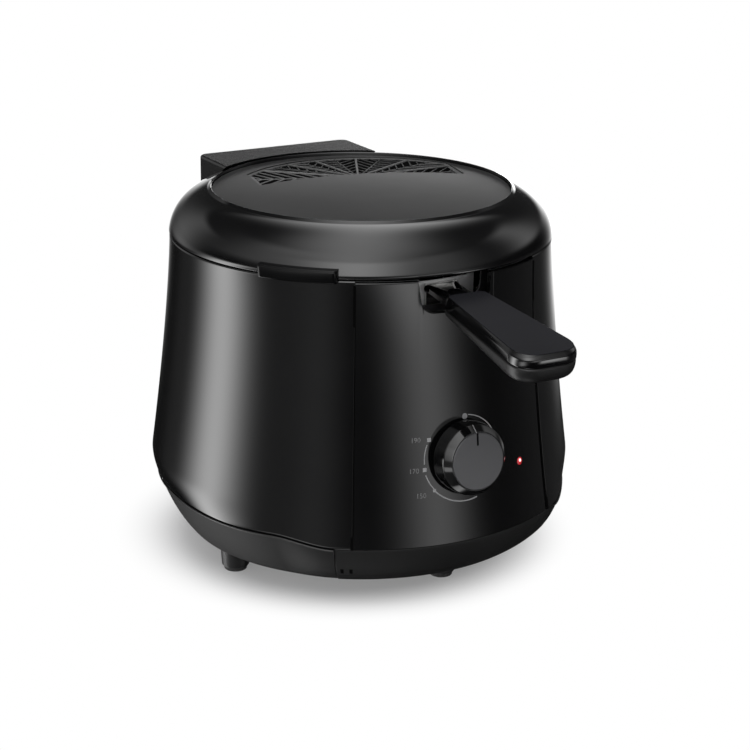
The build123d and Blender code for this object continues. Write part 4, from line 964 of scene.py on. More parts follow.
@dataclass
class Knob:
    """Thermostat knob turned about the dial's leaning axis: skirt, face, pointer and shaft."""

    axis: PotAxis
    foot: tuple[float, float] = (-121.18 * MM, 92.0 * MM)
    lean: float = 7.004
    skirt_radius: float = 21.25 * MM
    skirt_lift: float = 1.2 * MM
    shoulder_radius: float = 20.0 * MM
    shoulder: float = 9.8 * MM
    face_radius: float = 16.6 * MM
    face: float = 14.0 * MM
    shaft_radius: float = 3.0 * MM
    shaft_ends: tuple[float, float] = (-12.0 * MM, 11.0 * MM)
    pointer_reach: float = 9.0 * MM
    pointer_width: float = 1.1 * MM

    def _placed(self, across: np.ndarray, rise: np.ndarray, out: np.ndarray) -> np.ndarray:
        """Points across, up and out from the dial's centre moved to the frame.

        Args:
            across: Distances to the right.
            rise: Distances up the dial.
            out: Distances out along the dial's axis.

        Returns:
            Points in the frame.
        """
        lean = math.radians(self.lean)
        y = self.axis.y + self.foot[0] - out * math.cos(lean) + rise * math.sin(lean)
        z = self.foot[1] + out * math.sin(lean) + rise * math.cos(lean)
        return np.stack(np.broadcast_arrays(across, y, z), -1)

    def _turned(self, name: str, corners: np.ndarray, radii: list[float]) -> bpy.types.Object:
        """Closed outline of radius and height, its corners rounded, turned about the dial's axis.

        Args:
            name: The object's name.
            corners: Radius and height of the outline's corners.
            radii: Radii of those corners, millimetres.

        Returns:
            The linked object at the origin.
        """
        outline = rounded(corners, np.array(radii) * MM)[:, None]
        turn = np.linspace(0.0, 2.0 * np.pi, 128, endpoint=False)[None]
        radius = outline[..., 0]
        grid = self._placed(radius * np.sin(turn), radius * np.cos(turn), outline[..., 1])
        return surface(name, grid, True)

    def build(self) -> None:
        """Make the skirt, the face, the pointer and the shaft."""
        rim, top = self.face_radius, self.face - 0.5 * MM
        skirt = np.array([
            [0.0, self.skirt_lift], [self.skirt_radius, self.skirt_lift],
            [self.shoulder_radius, self.shoulder], [rim, top], [rim - 0.5 * MM, top],
            [rim - 0.5 * MM, top - 0.8 * MM], [0.0, top - 0.8 * MM],
        ])
        piece = self._turned("knob_skirt", skirt, [0.0, 0.5, 0.7, 0.3, 0.2, 0.0, 0.0])
        finish_piece(piece, Body.KNOB, GLOSS_BLACK, "gloss_black", "knob")
        face = np.array([
            [0.0, top - 0.7 * MM], [rim - 0.6 * MM, top - 0.7 * MM],
            [rim - 0.6 * MM, self.face], [0.0, self.face],
        ])
        piece = self._turned("knob_face", face, [0.0, 0.0, 0.5, 0.0])
        finish_piece(piece, Body.KNOB, KNOB_FACE, "satin_grey", "knob_cap")
        low, high = self.shaft_ends
        shaft = np.array([[0.0, low], [self.shaft_radius, low], [self.shaft_radius, high], [0.0, high]])
        piece = self._turned("knob_shaft", shaft, [0.0, 0.0, 0.4, 0.0])
        finish_piece(piece, Body.KNOB, BRASS, "brass", "thermostat_shaft")
        line = [[self.shoulder_radius, self.shoulder + 0.3 * MM], [rim, top], [rim - 0.6 * MM, self.face]]
        slot = [line[2], [self.pointer_reach, self.face]]
        # Painted shade: a black ribbon in place of the shade in the pointer's groove.
        self._ribbon("knob_slot_shade", np.array(slot), 0.0, self.pointer_width, PAINTED_SHADE_BLACK, "satin_black")
        shift = -0.5 * self.pointer_width
        self._ribbon("knob_line", np.array(line), shift, 0.35 * self.pointer_width, PALE_PRINT, "pale_mark")

    def _ribbon(
        self, name: str, path: np.ndarray, shift: float, width: float, finish: Finish, slot: str
    ) -> None:
        """Thin closed ribbon up the knob's outline, shifted aside.

        Args:
            name: The piece's name.
            path: Radius and height along the ribbon.
            shift: How far it lies to the side of the knob's top.
            width: The ribbon's width.
            finish: Its finish.
            slot: Name of a material slot, passed on with the piece.
        """
        across = shift + width * np.array([-0.5, 0.5, 0.5, -0.5])[None]
        thick = 0.12 * MM * np.array([-1.0, -1.0, 1.0, 1.0])[None]
        grid = self._placed(across, path[:, :1] + 0.3 * thick, path[:, 1:] + thick)
        finish_piece(surface(name, grid, True, caps=True), Body.KNOB, finish, slot, "knob_pointer")


@dataclass
class Lid:
    """Glossy lid dome with its raised rim, and the finger tab on its edge."""

    axis: PotAxis
    edge_radius: float = 112.2 * MM
    edge: float = 194.2 * MM
    edge_height: float = 1.5 * MM
    top: float = 220.7 * MM
    rim_outer: float = 89.6 * MM
    rim_chamfer: float = 1.5 * MM
    rim_inner: float = 87.25 * MM
    seat_inner: float = 82.0 * MM
    seat: float = 216.7 * MM
    wall: float = 2.5 * MM
    low_pull: float = 10.5 * MM
    low_lean: float = 0.13
    high_pull: float = 13.5 * MM
    high_slope: float = 0.2
    tab_azimuths: tuple[float, float] = (-58.0, -35.0)
    tab_reach: float = 5.0 * MM
    tab_low: float = 192.4 * MM
    tab_lean: float = 0.9 * MM
    tab_high: float = 200.1 * MM

    def build(self) -> None:
        """Make the dome and the tab."""
        self._dome()
        self._tab()

    def _shoulder(self, inset: float) -> np.ndarray:
        """Cubic curve from the lid's edge to its raised rim, drawn in by an inset.

        Args:
            inset: How far the curve is drawn in.

        Returns:
            Radii and heights as rows of two.
        """
        low = np.array([self.edge_radius - inset, self.edge + self.edge_height])
        high = np.array([self.rim_outer - 0.4 * inset, self.top - self.rim_chamfer - inset])
        pull_low = low + np.array([-self.low_lean, 1.0]) * self.low_pull
        pull_high = high + np.array([1.0, -self.high_slope]) * self.high_pull
        share = np.linspace(0.0, 1.0, 40)[:, None]
        rest = 1.0 - share
        near = rest**3 * low + 3 * rest**2 * share * pull_low
        return near + 3 * rest * share**2 * pull_high + share**3 * high

    def _dome(self) -> None:
        """Dome: the shoulder outside and inside, joined by the rim's seat and the foot, turned round."""
        outer, inner = self._shoulder(0.0), self._shoulder(self.wall)[::-1]
        rim = np.array([
            [self.rim_inner + 0.5 * MM, self.top], [self.rim_inner, self.top - 0.4 * MM],
            [self.rim_inner, self.seat], [self.seat_inner, self.seat],
            [self.seat_inner, self.seat - self.wall],
        ])
        foot = np.array([[self.edge_radius - self.wall, self.edge], [self.edge_radius, self.edge]])
        corners = np.concatenate([outer, rim, inner, foot])
        radii = np.zeros(len(corners))
        radii[len(outer) - 1] = 0.3 * MM
        radii[len(outer)], radii[len(outer) + 1] = 0.2 * MM, 0.1 * MM
        radii[-1] = 0.9 * MM
        piece = self.axis.lathe("lid_dome", rounded(corners, radii), 320)
        finish_piece(piece, Body.LID, GLOSS_BLACK, "gloss_black", "lid_shell")

    def _tab(self) -> None:
        """Finger tab: a round-cornered section swept along the lid's edge and drawn in at its ends."""
        inner = self.edge_radius + 0.2 * MM
        outer = inner + self.tab_reach
        corners = np.array([
            [inner, self.tab_low], [outer - self.tab_lean, self.tab_low],
            [outer, self.tab_high - 1.0 * MM], [outer - 0.8 * MM, self.tab_high],
            [inner - 1.6 * MM, self.tab_high], [inner, self.edge + 3.0 * MM],
        ])
        section = rounded(corners, np.array([0.0, 1.6, 0.4, 0.4, 0.0, 0.0]) * MM)[None]
        azimuth = crowded(*self.tab_azimuths, 61)[:, None]
        from_end = np.minimum(azimuth - self.tab_azimuths[0], self.tab_azimuths[1] - azimuth)
        drop = round_over(np.radians(from_end) * outer, 2.6 * MM, 0.85 * self.tab_reach)
        radius = np.maximum(section[..., 0] - drop, np.minimum(section[..., 0], inner))
        grid = self.axis.at(radius, azimuth, section[..., 1])
        piece = surface("lid_finger_tab", grid, True, caps=True)
        finish_piece(piece, Body.LID, TAB_BLACK, "gloss_black", "lid_tab")


@dataclass
class VentFan:
    """Lid's disc and its crescent vent: a border, spines fanned from a hub, and leaves of slanting ribs."""

    axis: PotAxis
    half_width: float = 63.0 * MM
    front: float = 17.0 * MM
    crown: float = 11.5 * MM
    outer_radius: float = 79.5 * MM
    border: float = 2.4 * MM
    high: float = 218.7 * MM
    depth: float = 1.8 * MM
    leans: tuple[float, ...] = (-104.0, -59.0, -37.0, -15.5, 15.0, 49.5, 76.0, 104.0)
    spine: float = 2.0 * MM
    spine_proud: float = 0.3 * MM
    vein: float = 1.3 * MM
    rib: float = 1.2 * MM
    rib_pitch: float = 6.0 * MM
    rib_lean: float = 52.0
    rib_least: float = 3.2 * MM
    hub_radius: float = 3.0 * MM
    hub_gap: float = 9.0 * MM
    turn: float = 12.0
    offset: tuple[float, float] = (5.6 * MM, -3.1 * MM)
    shade_sheet_drop: float = 0.3 * MM
    wide_pitch: float = 1.15
    wide_rib: float = 1.3
    disc_radius: float = 87.0 * MM
    disc_top: float = 218.9 * MM
    disc_thick: float = 2.6 * MM
    disc_crown: float = 1.8 * MM
    disc_round: float = 0.5 * MM

    def build(self) -> None:
        """Make the border, the disc round it, the painted-shade sheet, the spines and the leaves' veins and
        ribs.
        """
        hub = np.array([0.0, self.front + self.crown])
        low = self.high - self.depth
        self._border(low)
        self._disc()
        self._painted_shade_sheet(self.high - self.shade_sheet_drop)
        spines = np.array(self.leans[1:-1])
        start = hub + self.hub_radius * self._heading(spines)
        end = self._until(np.broadcast_to(hub, start.shape), spines, -180.0, 180.0)
        top = self.high + self.spine_proud
        spine = bars("vent_spines", self._placed(start), self._placed(end), self.spine, low, top)
        finish_piece(spine, Body.LID, VENT_GREY, "satin_black", "vent_grille")
        for count, (left, right) in enumerate(zip(self.leans[:-1], self.leans[1:])):
            self._leaf(count + 1, hub, left, right, low)

    def _heading(self, lean: np.ndarray) -> np.ndarray:
        """Plan directions at angles from the rear, positive towards +X."""
        return np.stack([np.sin(np.radians(lean)), np.cos(np.radians(lean))], -1)

    def _placed(self, plan: np.ndarray) -> np.ndarray:
        """Plan points turned about the pot's axis and moved to the frame.

        Args:
            plan: Points across and towards the rear from the pot's axis.

        Returns:
            Plan points in the frame.
        """
        turn = math.radians(self.turn)
        x = plan[..., 0] * math.cos(turn) + plan[..., 1] * math.sin(turn)
        y = plan[..., 1] * math.cos(turn) - plan[..., 0] * math.sin(turn)
        return np.stack([x + self.offset[0], y + self.offset[1] + self.axis.y], -1)

    def _bow(self) -> float:
        """Radius of the arc along the crescent's front, from its half width and its crown."""
        return (self.half_width**2 + self.crown**2) / (2.0 * self.crown)

    def _from_front(self, plan: np.ndarray) -> np.ndarray:
        """Distances of plan points behind the arc along the crescent's front."""
        middle = plan[..., 1] - self.front - self.crown + self._bow()
        return np.hypot(plan[..., 0], middle) - self._bow()

    def _inside(self, plan: np.ndarray, left: float, right: float) -> np.ndarray:
        """True where plan points lie in the crescent and between two leans from the hub.

        Args:
            plan: Plan points.
            left: Least lean, degrees.
            right: Greatest lean, degrees.

        Returns:
            A truth value for each point.
        """
        from_front = self._from_front(plan)
        lean = np.degrees(np.arctan2(plan[..., 0], plan[..., 1] - self.front - self.crown))
        inset = self.border / 2.0
        within = np.hypot(plan[..., 0], plan[..., 1]) < self.outer_radius - inset
        within &= (from_front > inset) & (np.abs(plan[..., 0]) < self.half_width - inset)
        return within & (lean > left) & (lean < right)

    def _until(self, start: np.ndarray, lean: np.ndarray, left: float, right: float) -> np.ndarray:
        """Points where lines from starts along leans leave the crescent or their sector.

        Args:
            start: Plan points where the lines start.
            lean: The lines' leans.
            left: Least lean of the sector.
            right: Greatest lean of the sector.

        Returns:
            The last point of each line that is still inside.
        """
        reach = np.linspace(self.hub_radius, 90.0 * MM, 349)
        line = start[:, None] + self._heading(lean)[:, None] * reach[None, :, None]
        last = np.where(self._inside(line, left, right), np.arange(reach.size), 0).max(1)
        return start + self._heading(lean) * reach[last][:, None]

    def _leaf(self, count: int, hub: np.ndarray, left: float, right: float, low: float) -> None:
        """Vein along the middle of a sector and ribs that slant outwards from it on both sides.

        Args:
            count: The leaf's number.
            hub: Plan point that the leaves fan out from.
            left: Lean of the leaf's left side.
            right: Lean of its right side.
            low: Height of the bars' feet.
        """
        middle = (left + right) / 2.0
        tip = self._until(hub[None], np.array([middle]), left, right)
        length = float(np.linalg.norm(tip - hub))
        along = np.arange(self.hub_gap, length, self.rib_pitch * (self.wide_pitch if count == 1 else 1.0))
        root = hub + along[:, None] * self._heading(np.array([middle]))
        start = np.concatenate([root, root])
        lean = np.repeat([middle - self.rib_lean, middle + self.rib_lean], along.size)
        end = self._until(start, lean, left, right)
        long = np.linalg.norm(end - start, axis=1) > self.rib_least
        width = self.rib * (self.wide_rib if count == 1 else 1.0)
        ends = (self._placed(start[long]), self._placed(end[long]))
        rib = bars(f"vent_ribs_{count}", *ends, width, low, self.high)
        # Painted light and shade: the first leaf takes the lit copy of the moulding, the other leaves the
        # shaded copy.
        finish = VENT_GREY if count == 1 else VENT_SHADED
        finish_piece(rib, Body.LID, finish, "satin_black", "vent_grille")
        ends = (self._placed(root[:1]), self._placed(tip))
        vein = bars(f"vent_vein_{count}", *ends, self.vein, low, self.high)
        finish_piece(vein, Body.LID, finish, "satin_black", "vent_grille")

    def _edge(self, inset: float) -> tuple[np.ndarray, np.ndarray, np.ndarray]:
        """Crescent's edge seen from a point inside it.

        Args:
            inset: How far the edge is drawn in.

        Returns:
            The point, directions all round it, and the distance to the edge in each.
        """
        middle = np.array([0.0, 50.0 * MM])
        turn = np.linspace(0.0, 2.0 * np.pi, 720, endpoint=False)
        heading = np.stack([np.sin(turn), np.cos(turn)], -1)
        reach = np.linspace(0.0, 80.0 * MM, 1601)
        plan = middle + heading[:, None] * reach[None, :, None]
        from_front = self._from_front(plan)
        within = (np.hypot(plan[..., 0], plan[..., 1]) < self.outer_radius - inset) & (from_front > inset)
        within &= np.abs(plan[..., 0]) < self.half_width - inset
        return middle, heading, reach[np.where(within, np.arange(reach.size), 0).max(1)]

    def _disc(self) -> None:
        """Disc round the vent: straight lines from the crescent's edge to the disc's, slightly crowned."""
        middle, heading, inner = self._edge(-0.2 * MM)
        start = self._placed(middle) - np.array([0.0, self.axis.y])
        toward = (self._placed(middle + heading) - self._placed(middle)) @ start
        outer = np.sqrt(toward**2 - start @ start + self.disc_radius**2) - toward
        near_edge = 1.0 - 0.05 * np.linspace(0.95, 0.0, 16) ** 2
        share = np.concatenate([np.linspace(0.0, 0.95, 24), near_edge])[:, None]
        plan = middle + heading[None] * (inner + (outer - inner) * share)[..., None]
        placed = self._placed(plan)
        away = np.hypot(placed[..., 0], placed[..., 1] - self.axis.y)
        top = self.disc_top + self.disc_crown * (1.0 - (away / self.disc_radius) ** 2)
        top = top - round_over(self.disc_radius - away, self.disc_round, self.disc_round)
        plan = np.concatenate([plan, plan[-1:], plan[:1]])
        level = np.concatenate([top, np.full((2, top.shape[1]), self.disc_top - self.disc_thick)])[..., None]
        grid = np.concatenate([self._placed(plan), level], -1)
        piece = surface("lid_top_disc", grid, True, True)
        finish_piece(piece, Body.LID, SATIN_GREY, "satin_grey", "lid_disc")

    def _painted_shade_sheet(self, low: float) -> None:
        """Painted shade under the ribs: a thin black plate inside the crescent's edge.

        Args:
            low: Height that the sheet lies below.
        """
        middle, heading, reach = self._edge(0.4 * MM)
        share = np.array([0.0, 1.0, 1.0, 0.0])[:, None]
        plan = middle + heading[None] * (reach * share)[..., None]
        level = low + np.array([-0.1, -0.1, -0.6, -0.6])[:, None, None] * MM
        grid = np.concatenate([self._placed(plan), np.broadcast_to(level, (*plan.shape[:2], 1))], -1)
        # Painted shade: a black sheet over the filter, so the vent looks dark behind its ribs.
        finish_piece(surface("vent_painted_shade_sheet", grid, True), Body.LID, PAINTED_SHADE_BLACK, "filter_mat")

    def _border(self, low: float) -> None:
        """Flat border: the crescent's outline with round corners, drawn in by the border's width.

        Args:
            low: Height of the border's foot.
        """
        back = math.sqrt(self.outer_radius**2 - self.half_width**2)
        radius = self._bow()
        half = math.asin(self.half_width / radius)
        sweep = np.linspace(-half, half, 60)
        back_from = self.front + self.crown - radius + radius * np.cos(sweep)
        front = np.stack([radius * np.sin(sweep), back_from], -1)
        turn = np.linspace(math.atan2(self.half_width, back), -math.atan2(self.half_width, back), 80)
        rear = self.outer_radius * np.stack([np.sin(turn), np.cos(turn)], -1)
        outline = np.concatenate([front, rear])
        middle = np.array([0.0, 46.0 * MM])
        along = np.roll(outline, -1, 0) - np.roll(outline, 1, 0)
        inward = np.stack([-along[:, 1], along[:, 0]], -1) / np.linalg.norm(along, axis=1, keepdims=True)
        inward *= np.sign(np.sum((middle - outline) * inward, 1, keepdims=True))
        plan = np.stack([outline, outline, outline + self.border * inward, outline + self.border * inward], 1)
        level = np.array([low, self.high, self.high, low])[None, :, None]
        height = np.broadcast_to(level, (*plan.shape[:2], 1))
        grid = np.concatenate([self._placed(plan), height], -1)
        piece = surface("vent_border", grid, True, True)
        finish_piece(piece, Body.LID, VENT_GREY, "satin_black", "vent_grille")


@dataclass
class Handle:
    """Grip of the basket: a satin top plate, a glossy band, a rounded lower half, a collar and a fork."""

    axis: PotAxis
    root: tuple[float, float] = (-115.5 * MM, 179.0 * MM)
    droop: float = 7.5
    length: float = 86.5 * MM
    root_half: float = 13.0 * MM
    tip_half: float = 20.3 * MM
    tip_lift: float = 1.8 * MM
    root_round: float = 4.0 * MM
    tip_round: float = 13.0 * MM
    tip_bow: float = 1.4 * MM
    top: float = 6.0 * MM
    seam: float = -1.25 * MM
    seam_gap: float = 0.3 * MM
    plate_inset: float = 1.5 * MM
    root_depth: float = 4.5 * MM
    tip_depth: float = 9.6 * MM
    fork_ends: tuple[float, float] = (-112.0 * MM, -91.5 * MM)
    fork_radius: float = 2.4 * MM
    plate_half: float = 24.0 * MM
    plate_bow: float = 90.2 * MM
    plate_ends: tuple[float, float] = (168.0 * MM, 186.0 * MM)

    def _outline(self, inset: np.ndarray) -> np.ndarray:
        """Plan outlines, one for each inset: a widening bar with round corners and a bowed tip.

        Args:
            inset: Distances by which the outline is drawn in.

        Returns:
            Points across and along the handle, one loop for each inset.
        """
        half = np.stack([self.root_half - inset, self.tip_half - inset], -1)
        near, far = inset * 0.5, self.length - inset
        across = np.stack([-half[:, 0], half[:, 0], half[:, 1], -half[:, 1]], -1)
        along = np.stack([near, near, far, far], -1)
        radii = np.array([self.root_round, self.root_round, self.tip_round, self.tip_round])
        loops = [rounded(np.stack(level, -1), radii, 13) for level in zip(across, along)]
        plan = np.stack(loops)
        bow = self.tip_bow * (1.0 - (plan[..., 0] / self.tip_half) ** 2) * (plan[..., 1] / self.length) ** 4
        return np.stack([plan[..., 0], plan[..., 1] + bow], -1)

    def _placed(self, plan: np.ndarray, rise: np.ndarray) -> np.ndarray:
        """Points across, along and above the drooping handle moved to the frame.

        Args:
            plan: Points across and along the handle.
            rise: Heights above its middle line.

        Returns:
            Points in the frame.
        """
        lean = math.radians(self.droop)
        rise = rise + self.tip_lift * plan[..., 1] / self.length
        y = self.axis.y + self.root[0] - plan[..., 1] * math.cos(lean) - rise * math.sin(lean)
        z = self.root[1] - plan[..., 1] * math.sin(lean) + rise * math.cos(lean)
        return np.stack([plan[..., 0], y, z], -1)

    def _section(
        self, corners: list[tuple[float, float]], radii: list[float]
    ) -> tuple[np.ndarray, np.ndarray]:
        """Insets and heights down the side of the grip, from corners with radii in millimetres.

        Args:
            corners: Insets and heights, millimetres.
            radii: Radii of those corners.

        Returns:
            Insets and heights along the section.
        """
        curve = rounded(np.array(corners) * MM, np.array(radii) * MM, 8)
        start = int(np.argmin(np.linalg.norm(curve - np.array(corners[0]) * MM, axis=1)))
        curve = np.roll(curve, -start, 0)
        return curve[:, 0], curve[:, 1]

    def build(self) -> None:
        """Make the top plate, the band, the lower half, the collar and the fork."""
        top, seam = self.top / MM, self.seam / MM
        inset = self.plate_inset / MM
        plate = [(inset + 0.35, top + 0.12), (inset, top + 0.12), (inset, top - 0.8)]
        self._part("handle_plate", plate, [0.0, 0.3, 0.0], HANDLE_SATIN, "satin_black", "handle_upper")
        edge = inset - 0.05
        band = [(edge, top - 0.6), (edge, top), (0.25, 4.2), (0.0, 1.4), (0.0, seam + 0.4), (0.3, seam)]
        radii = [0.0, 0.3, 1.5, 1.3, 0.4, 0.0]
        self._part("handle_band", band, radii, GLOSS_BLACK, "gloss_black", "handle_upper")
        self._lower()
        self._collar()
        self._fork()

    def _part(
        self,
        name: str,
        corners: list[tuple[float, float]],
        radii: list[float],
        finish: Finish,
        slot: str,
        node: str,
    ) -> None:
        """Part of the grip: its outline at each inset, stacked at the section's heights.

        Args:
            name: The piece's name.
            corners: Inset and height of the section's corners, millimetres.
            radii: Radii of those corners, millimetres.
            finish: The piece's finish.
            slot: Name of a material slot, passed on with the piece.
            node: The node that it stands for.
        """
        inset, height = self._section(corners, radii)
        plan = self._outline(inset)
        grid = self._placed(plan, np.broadcast_to(height[:, None], plan.shape[:2]))
        finish_piece(surface(name, grid, True, caps=True), Body.BASKET, finish, slot, node)

    def _lower(self) -> None:
        """Lower half: its depth grows along the handle and its side rounds under like a hull."""
        share = np.linspace(0.0, 1.0, 22)
        inset = np.concatenate([[0.35 * MM], 9.5 * MM * (1.0 - np.sqrt(1.0 - share**2.6))])
        plan = self._outline(inset)
        depth = self.root_depth + (self.tip_depth - self.root_depth) * plan[..., 1] / self.length
        sink = np.concatenate([[0.0], 0.06 + 0.94 * np.sin(share * np.pi / 2.0) ** 1.15])[:, None]
        rise = self.seam - self.seam_gap - sink * depth
        piece = surface("handle_underside", self._placed(plan, rise), True, caps=True)
        finish_piece(piece, Body.BASKET, SATIN_BLACK, "satin_black", "handle_lower")

    def _collar(self) -> None:
        """Collar behind the grip: round-cornered sections that narrow from the root into the notch."""
        share = np.linspace(0.0, 1.0, 12)[:, None]
        turn = np.linspace(0.0, 2.0 * np.pi, 32, endpoint=False)[None]
        half = (11.5 - 7.0 * np.sqrt(share)) * MM
        tall = (5.2 - 1.4 * share) * MM
        square = np.abs(np.cos(turn)) ** 4 + np.abs(np.sin(turn)) ** 4
        across = half * np.cos(turn) / square**0.25
        rise = tall * np.sin(turn) / square**0.25 + 0.4 * MM * share
        plan = np.stack([across, np.broadcast_to(2.0 * MM - 13.0 * MM * share, across.shape)], -1)
        piece = surface("handle_collar", self._placed(plan, rise), True, caps=True)
        finish_piece(piece, Body.BASKET, GLOSS_BLACK, "gloss_black")

    def _fork(self) -> None:
        """Two arms that spread from the collar to the basket, and the steel plate behind, painted near white
        as reflection.
        """
        side = np.array([-1.0, 1.0])[:, None]
        share = np.linspace(0.0, 1.0, 10)[None]
        across = side * (4.0 + 5.0 * share**1.5) * MM
        run = self.axis.y + self.fork_ends[0] + (self.fork_ends[1] - self.fork_ends[0]) * share
        along = np.broadcast_to(run, across.shape)
        height = np.broadcast_to(self.root[1] + (1.0 + 2.2 * share**0.6) * MM, across.shape)
        paths = np.stack([across, along, height], -1)
        arms = tubes("handle_fork", paths, np.array([1.0, 0.0, 0.0]), self.fork_radius, 16)
        finish_piece(arms, Body.BASKET, GLOSS_BLACK, "gloss_black")
        reach = self.plate_half * np.linspace(-1.0, 1.0, 33)[:, None]
        bow = np.sqrt(self.plate_bow**2 - reach**2)
        front = self.axis.y - bow + np.array([0.0, 0.0, 1.2, 1.2])[None] * MM
        low, high = self.plate_ends
        level = np.array([low, high, high, low])[None]
        grid = np.stack(np.broadcast_arrays(reach, front, level), -1)
        # Painted reflection: the plate's near-white colour stands in for light reflected off the steel.
        finish_piece(surface("handle_back_plate", grid, True, caps=True), Body.BASKET, STEEL_PAINTED_GLINT, "steel")


@dataclass
class WireBasket:
    """Frying basket woven of wire: hoops, uprights that turn under, and a crossed floor."""

    axis: PotAxis
    top_radius: float = 87.3 * MM
    floor_radius: float = 81.4 * MM
    top: float = 172.0 * MM
    floor: float = 76.2 * MM
    corner: float = 9.0 * MM
    turned_under: float = 66.0 * MM
    wire: float = 0.55 * MM
    pitch: float = 6.0 * MM
    uprights: int = 92

    def build(self) -> None:
        """Make the hoops, the uprights and the floor's wires."""
        upward = np.array([0.0, 0.0, 1.0])
        height = np.arange(self.floor + self.corner, self.top, self.pitch)[:, None]
        share = (height - self.floor) / (self.top - self.floor)
        radius = self.floor_radius + (self.top_radius - self.floor_radius) * share - self.wire
        turn = np.linspace(0.0, 360.0, 145)[None]
        hoops = tubes("basket_hoops", self.axis.at(radius, turn, height), upward, self.wire)
        finish_piece(hoops, Body.BASKET, STEEL, "steel", "basket_mesh")
        corners = np.array([[self.top_radius, self.top], [self.floor_radius, self.floor], [0.0, self.floor]])
        side = rounded(corners, np.array([0.0, self.corner, 0.0]), 9)
        straight = bent(side[0], (side[0] + side[1]) / 2.0, side[1], 6)[:-1]
        side = np.concatenate([straight, side[1:-1], [[self.turned_under, self.floor]]])
        around = np.linspace(0.0, 360.0, self.uprights, endpoint=False)[:, None]
        paths = self.axis.at(side[None, :, 0], around, side[None, :, 1])
        aside = self.axis.at(1.0, around + 90.0, 0.0) - self.axis.at(0.0, 0.0, 0.0)
        upright = tubes("basket_uprights", paths, aside, self.wire)
        finish_piece(upright, Body.BASKET, STEEL, "steel", "basket_mesh")
        for name, turned in (("basket_floor_long", False), ("basket_floor_cross", True)):
            self._floor_wires(name, turned)

    def _floor_wires(self, name: str, turned: bool) -> None:
        """Parallel wires across the floor's circle, along X or along Y and a wire's width apart in height.

        Args:
            name: The piece's name.
            turned: True for the wires along Y.
        """
        reach = self.floor_radius - self.corner
        place = np.arange(-reach + self.pitch / 2.0, reach, self.pitch)[:, None]
        run = np.sqrt(reach**2 - place**2) * np.linspace(-1.0, 1.0, 12)[None]
        flat = np.broadcast_to(place, run.shape)
        plan = (flat, run + self.axis.y) if turned else (run, flat + self.axis.y)
        level = np.full(run.shape, self.floor + (2.0 * self.wire if turned else 0.0))
        wires = tubes(name, np.stack([*plan, level], -1), np.array([0.0, 0.0, 1.0]), self.wire)
        finish_piece(wires, Body.BASKET, STEEL, "steel", "basket_mesh")


@dataclass(frozen=True)
class Card:
    """Reflector card in the studio: a bell over azimuth and a band of elevation that gloss sees brighter."""

    azimuth: float
    spread: float
    low: float
    high: float
    level: float
    soft: float = 3.0
    lean: float = 0.0

    def glow(self, azimuth: np.ndarray, elevation: np.ndarray) -> np.ndarray:
        """Brightness by direction: a bell about the card's azimuth, eased at its foot and head.

        Args:
            azimuth: Directions' azimuths in degrees.
            elevation: Their elevations.

        Returns:
            The card's share of the brightness.
        """
        off = (azimuth - self.azimuth - self.lean * elevation + 180.0) % 360.0 - 180.0
        foot = ease(elevation, self.low - self.soft, self.low + self.soft)
        head = 1.0 - ease(elevation, self.high - self.soft, self.high + self.soft)
        return self.level * np.exp(-0.5 * (off / self.spread) ** 2) * foot * head


@dataclass(frozen=True)
class Strip:
    """Overhead light: a strip from in front of the object over its top, narrower towards the back."""

    azimuth: float
    level: float
    spreads: tuple[float, float] = (19.0, 8.0)
    narrows: tuple[float, float] = (60.0, 118.0)
    ends: tuple[float, float] = (0.0, 142.0)
    soft: float = 4.0

    def glow(self, azimuth: np.ndarray, elevation: np.ndarray) -> np.ndarray:
        """Brightness by direction.

        Args:
            azimuth: Directions' azimuths in degrees.
            elevation: Their elevations.

        Returns:
            A bell across the strip, whose width shrinks along it, eased at both ends.
        """
        turn, rise = np.radians(azimuth - self.azimuth), np.radians(elevation)
        aside = np.degrees(np.arcsin(np.clip(np.cos(rise) * np.sin(turn), -1.0, 1.0)))
        over = np.degrees(np.arctan2(np.sin(rise), np.cos(rise) * np.cos(turn)))
        spread = self.spreads[0] + (self.spreads[1] - self.spreads[0]) * ease(over, *self.narrows)
        foot = ease(over, self.ends[0] - self.soft, self.ends[0] + self.soft)
        head = 1.0 - ease(over, self.ends[1] - self.soft, self.ends[1] + self.soft)
        return self.level * np.exp(-0.5 * (aside / spread) ** 2) * foot * head


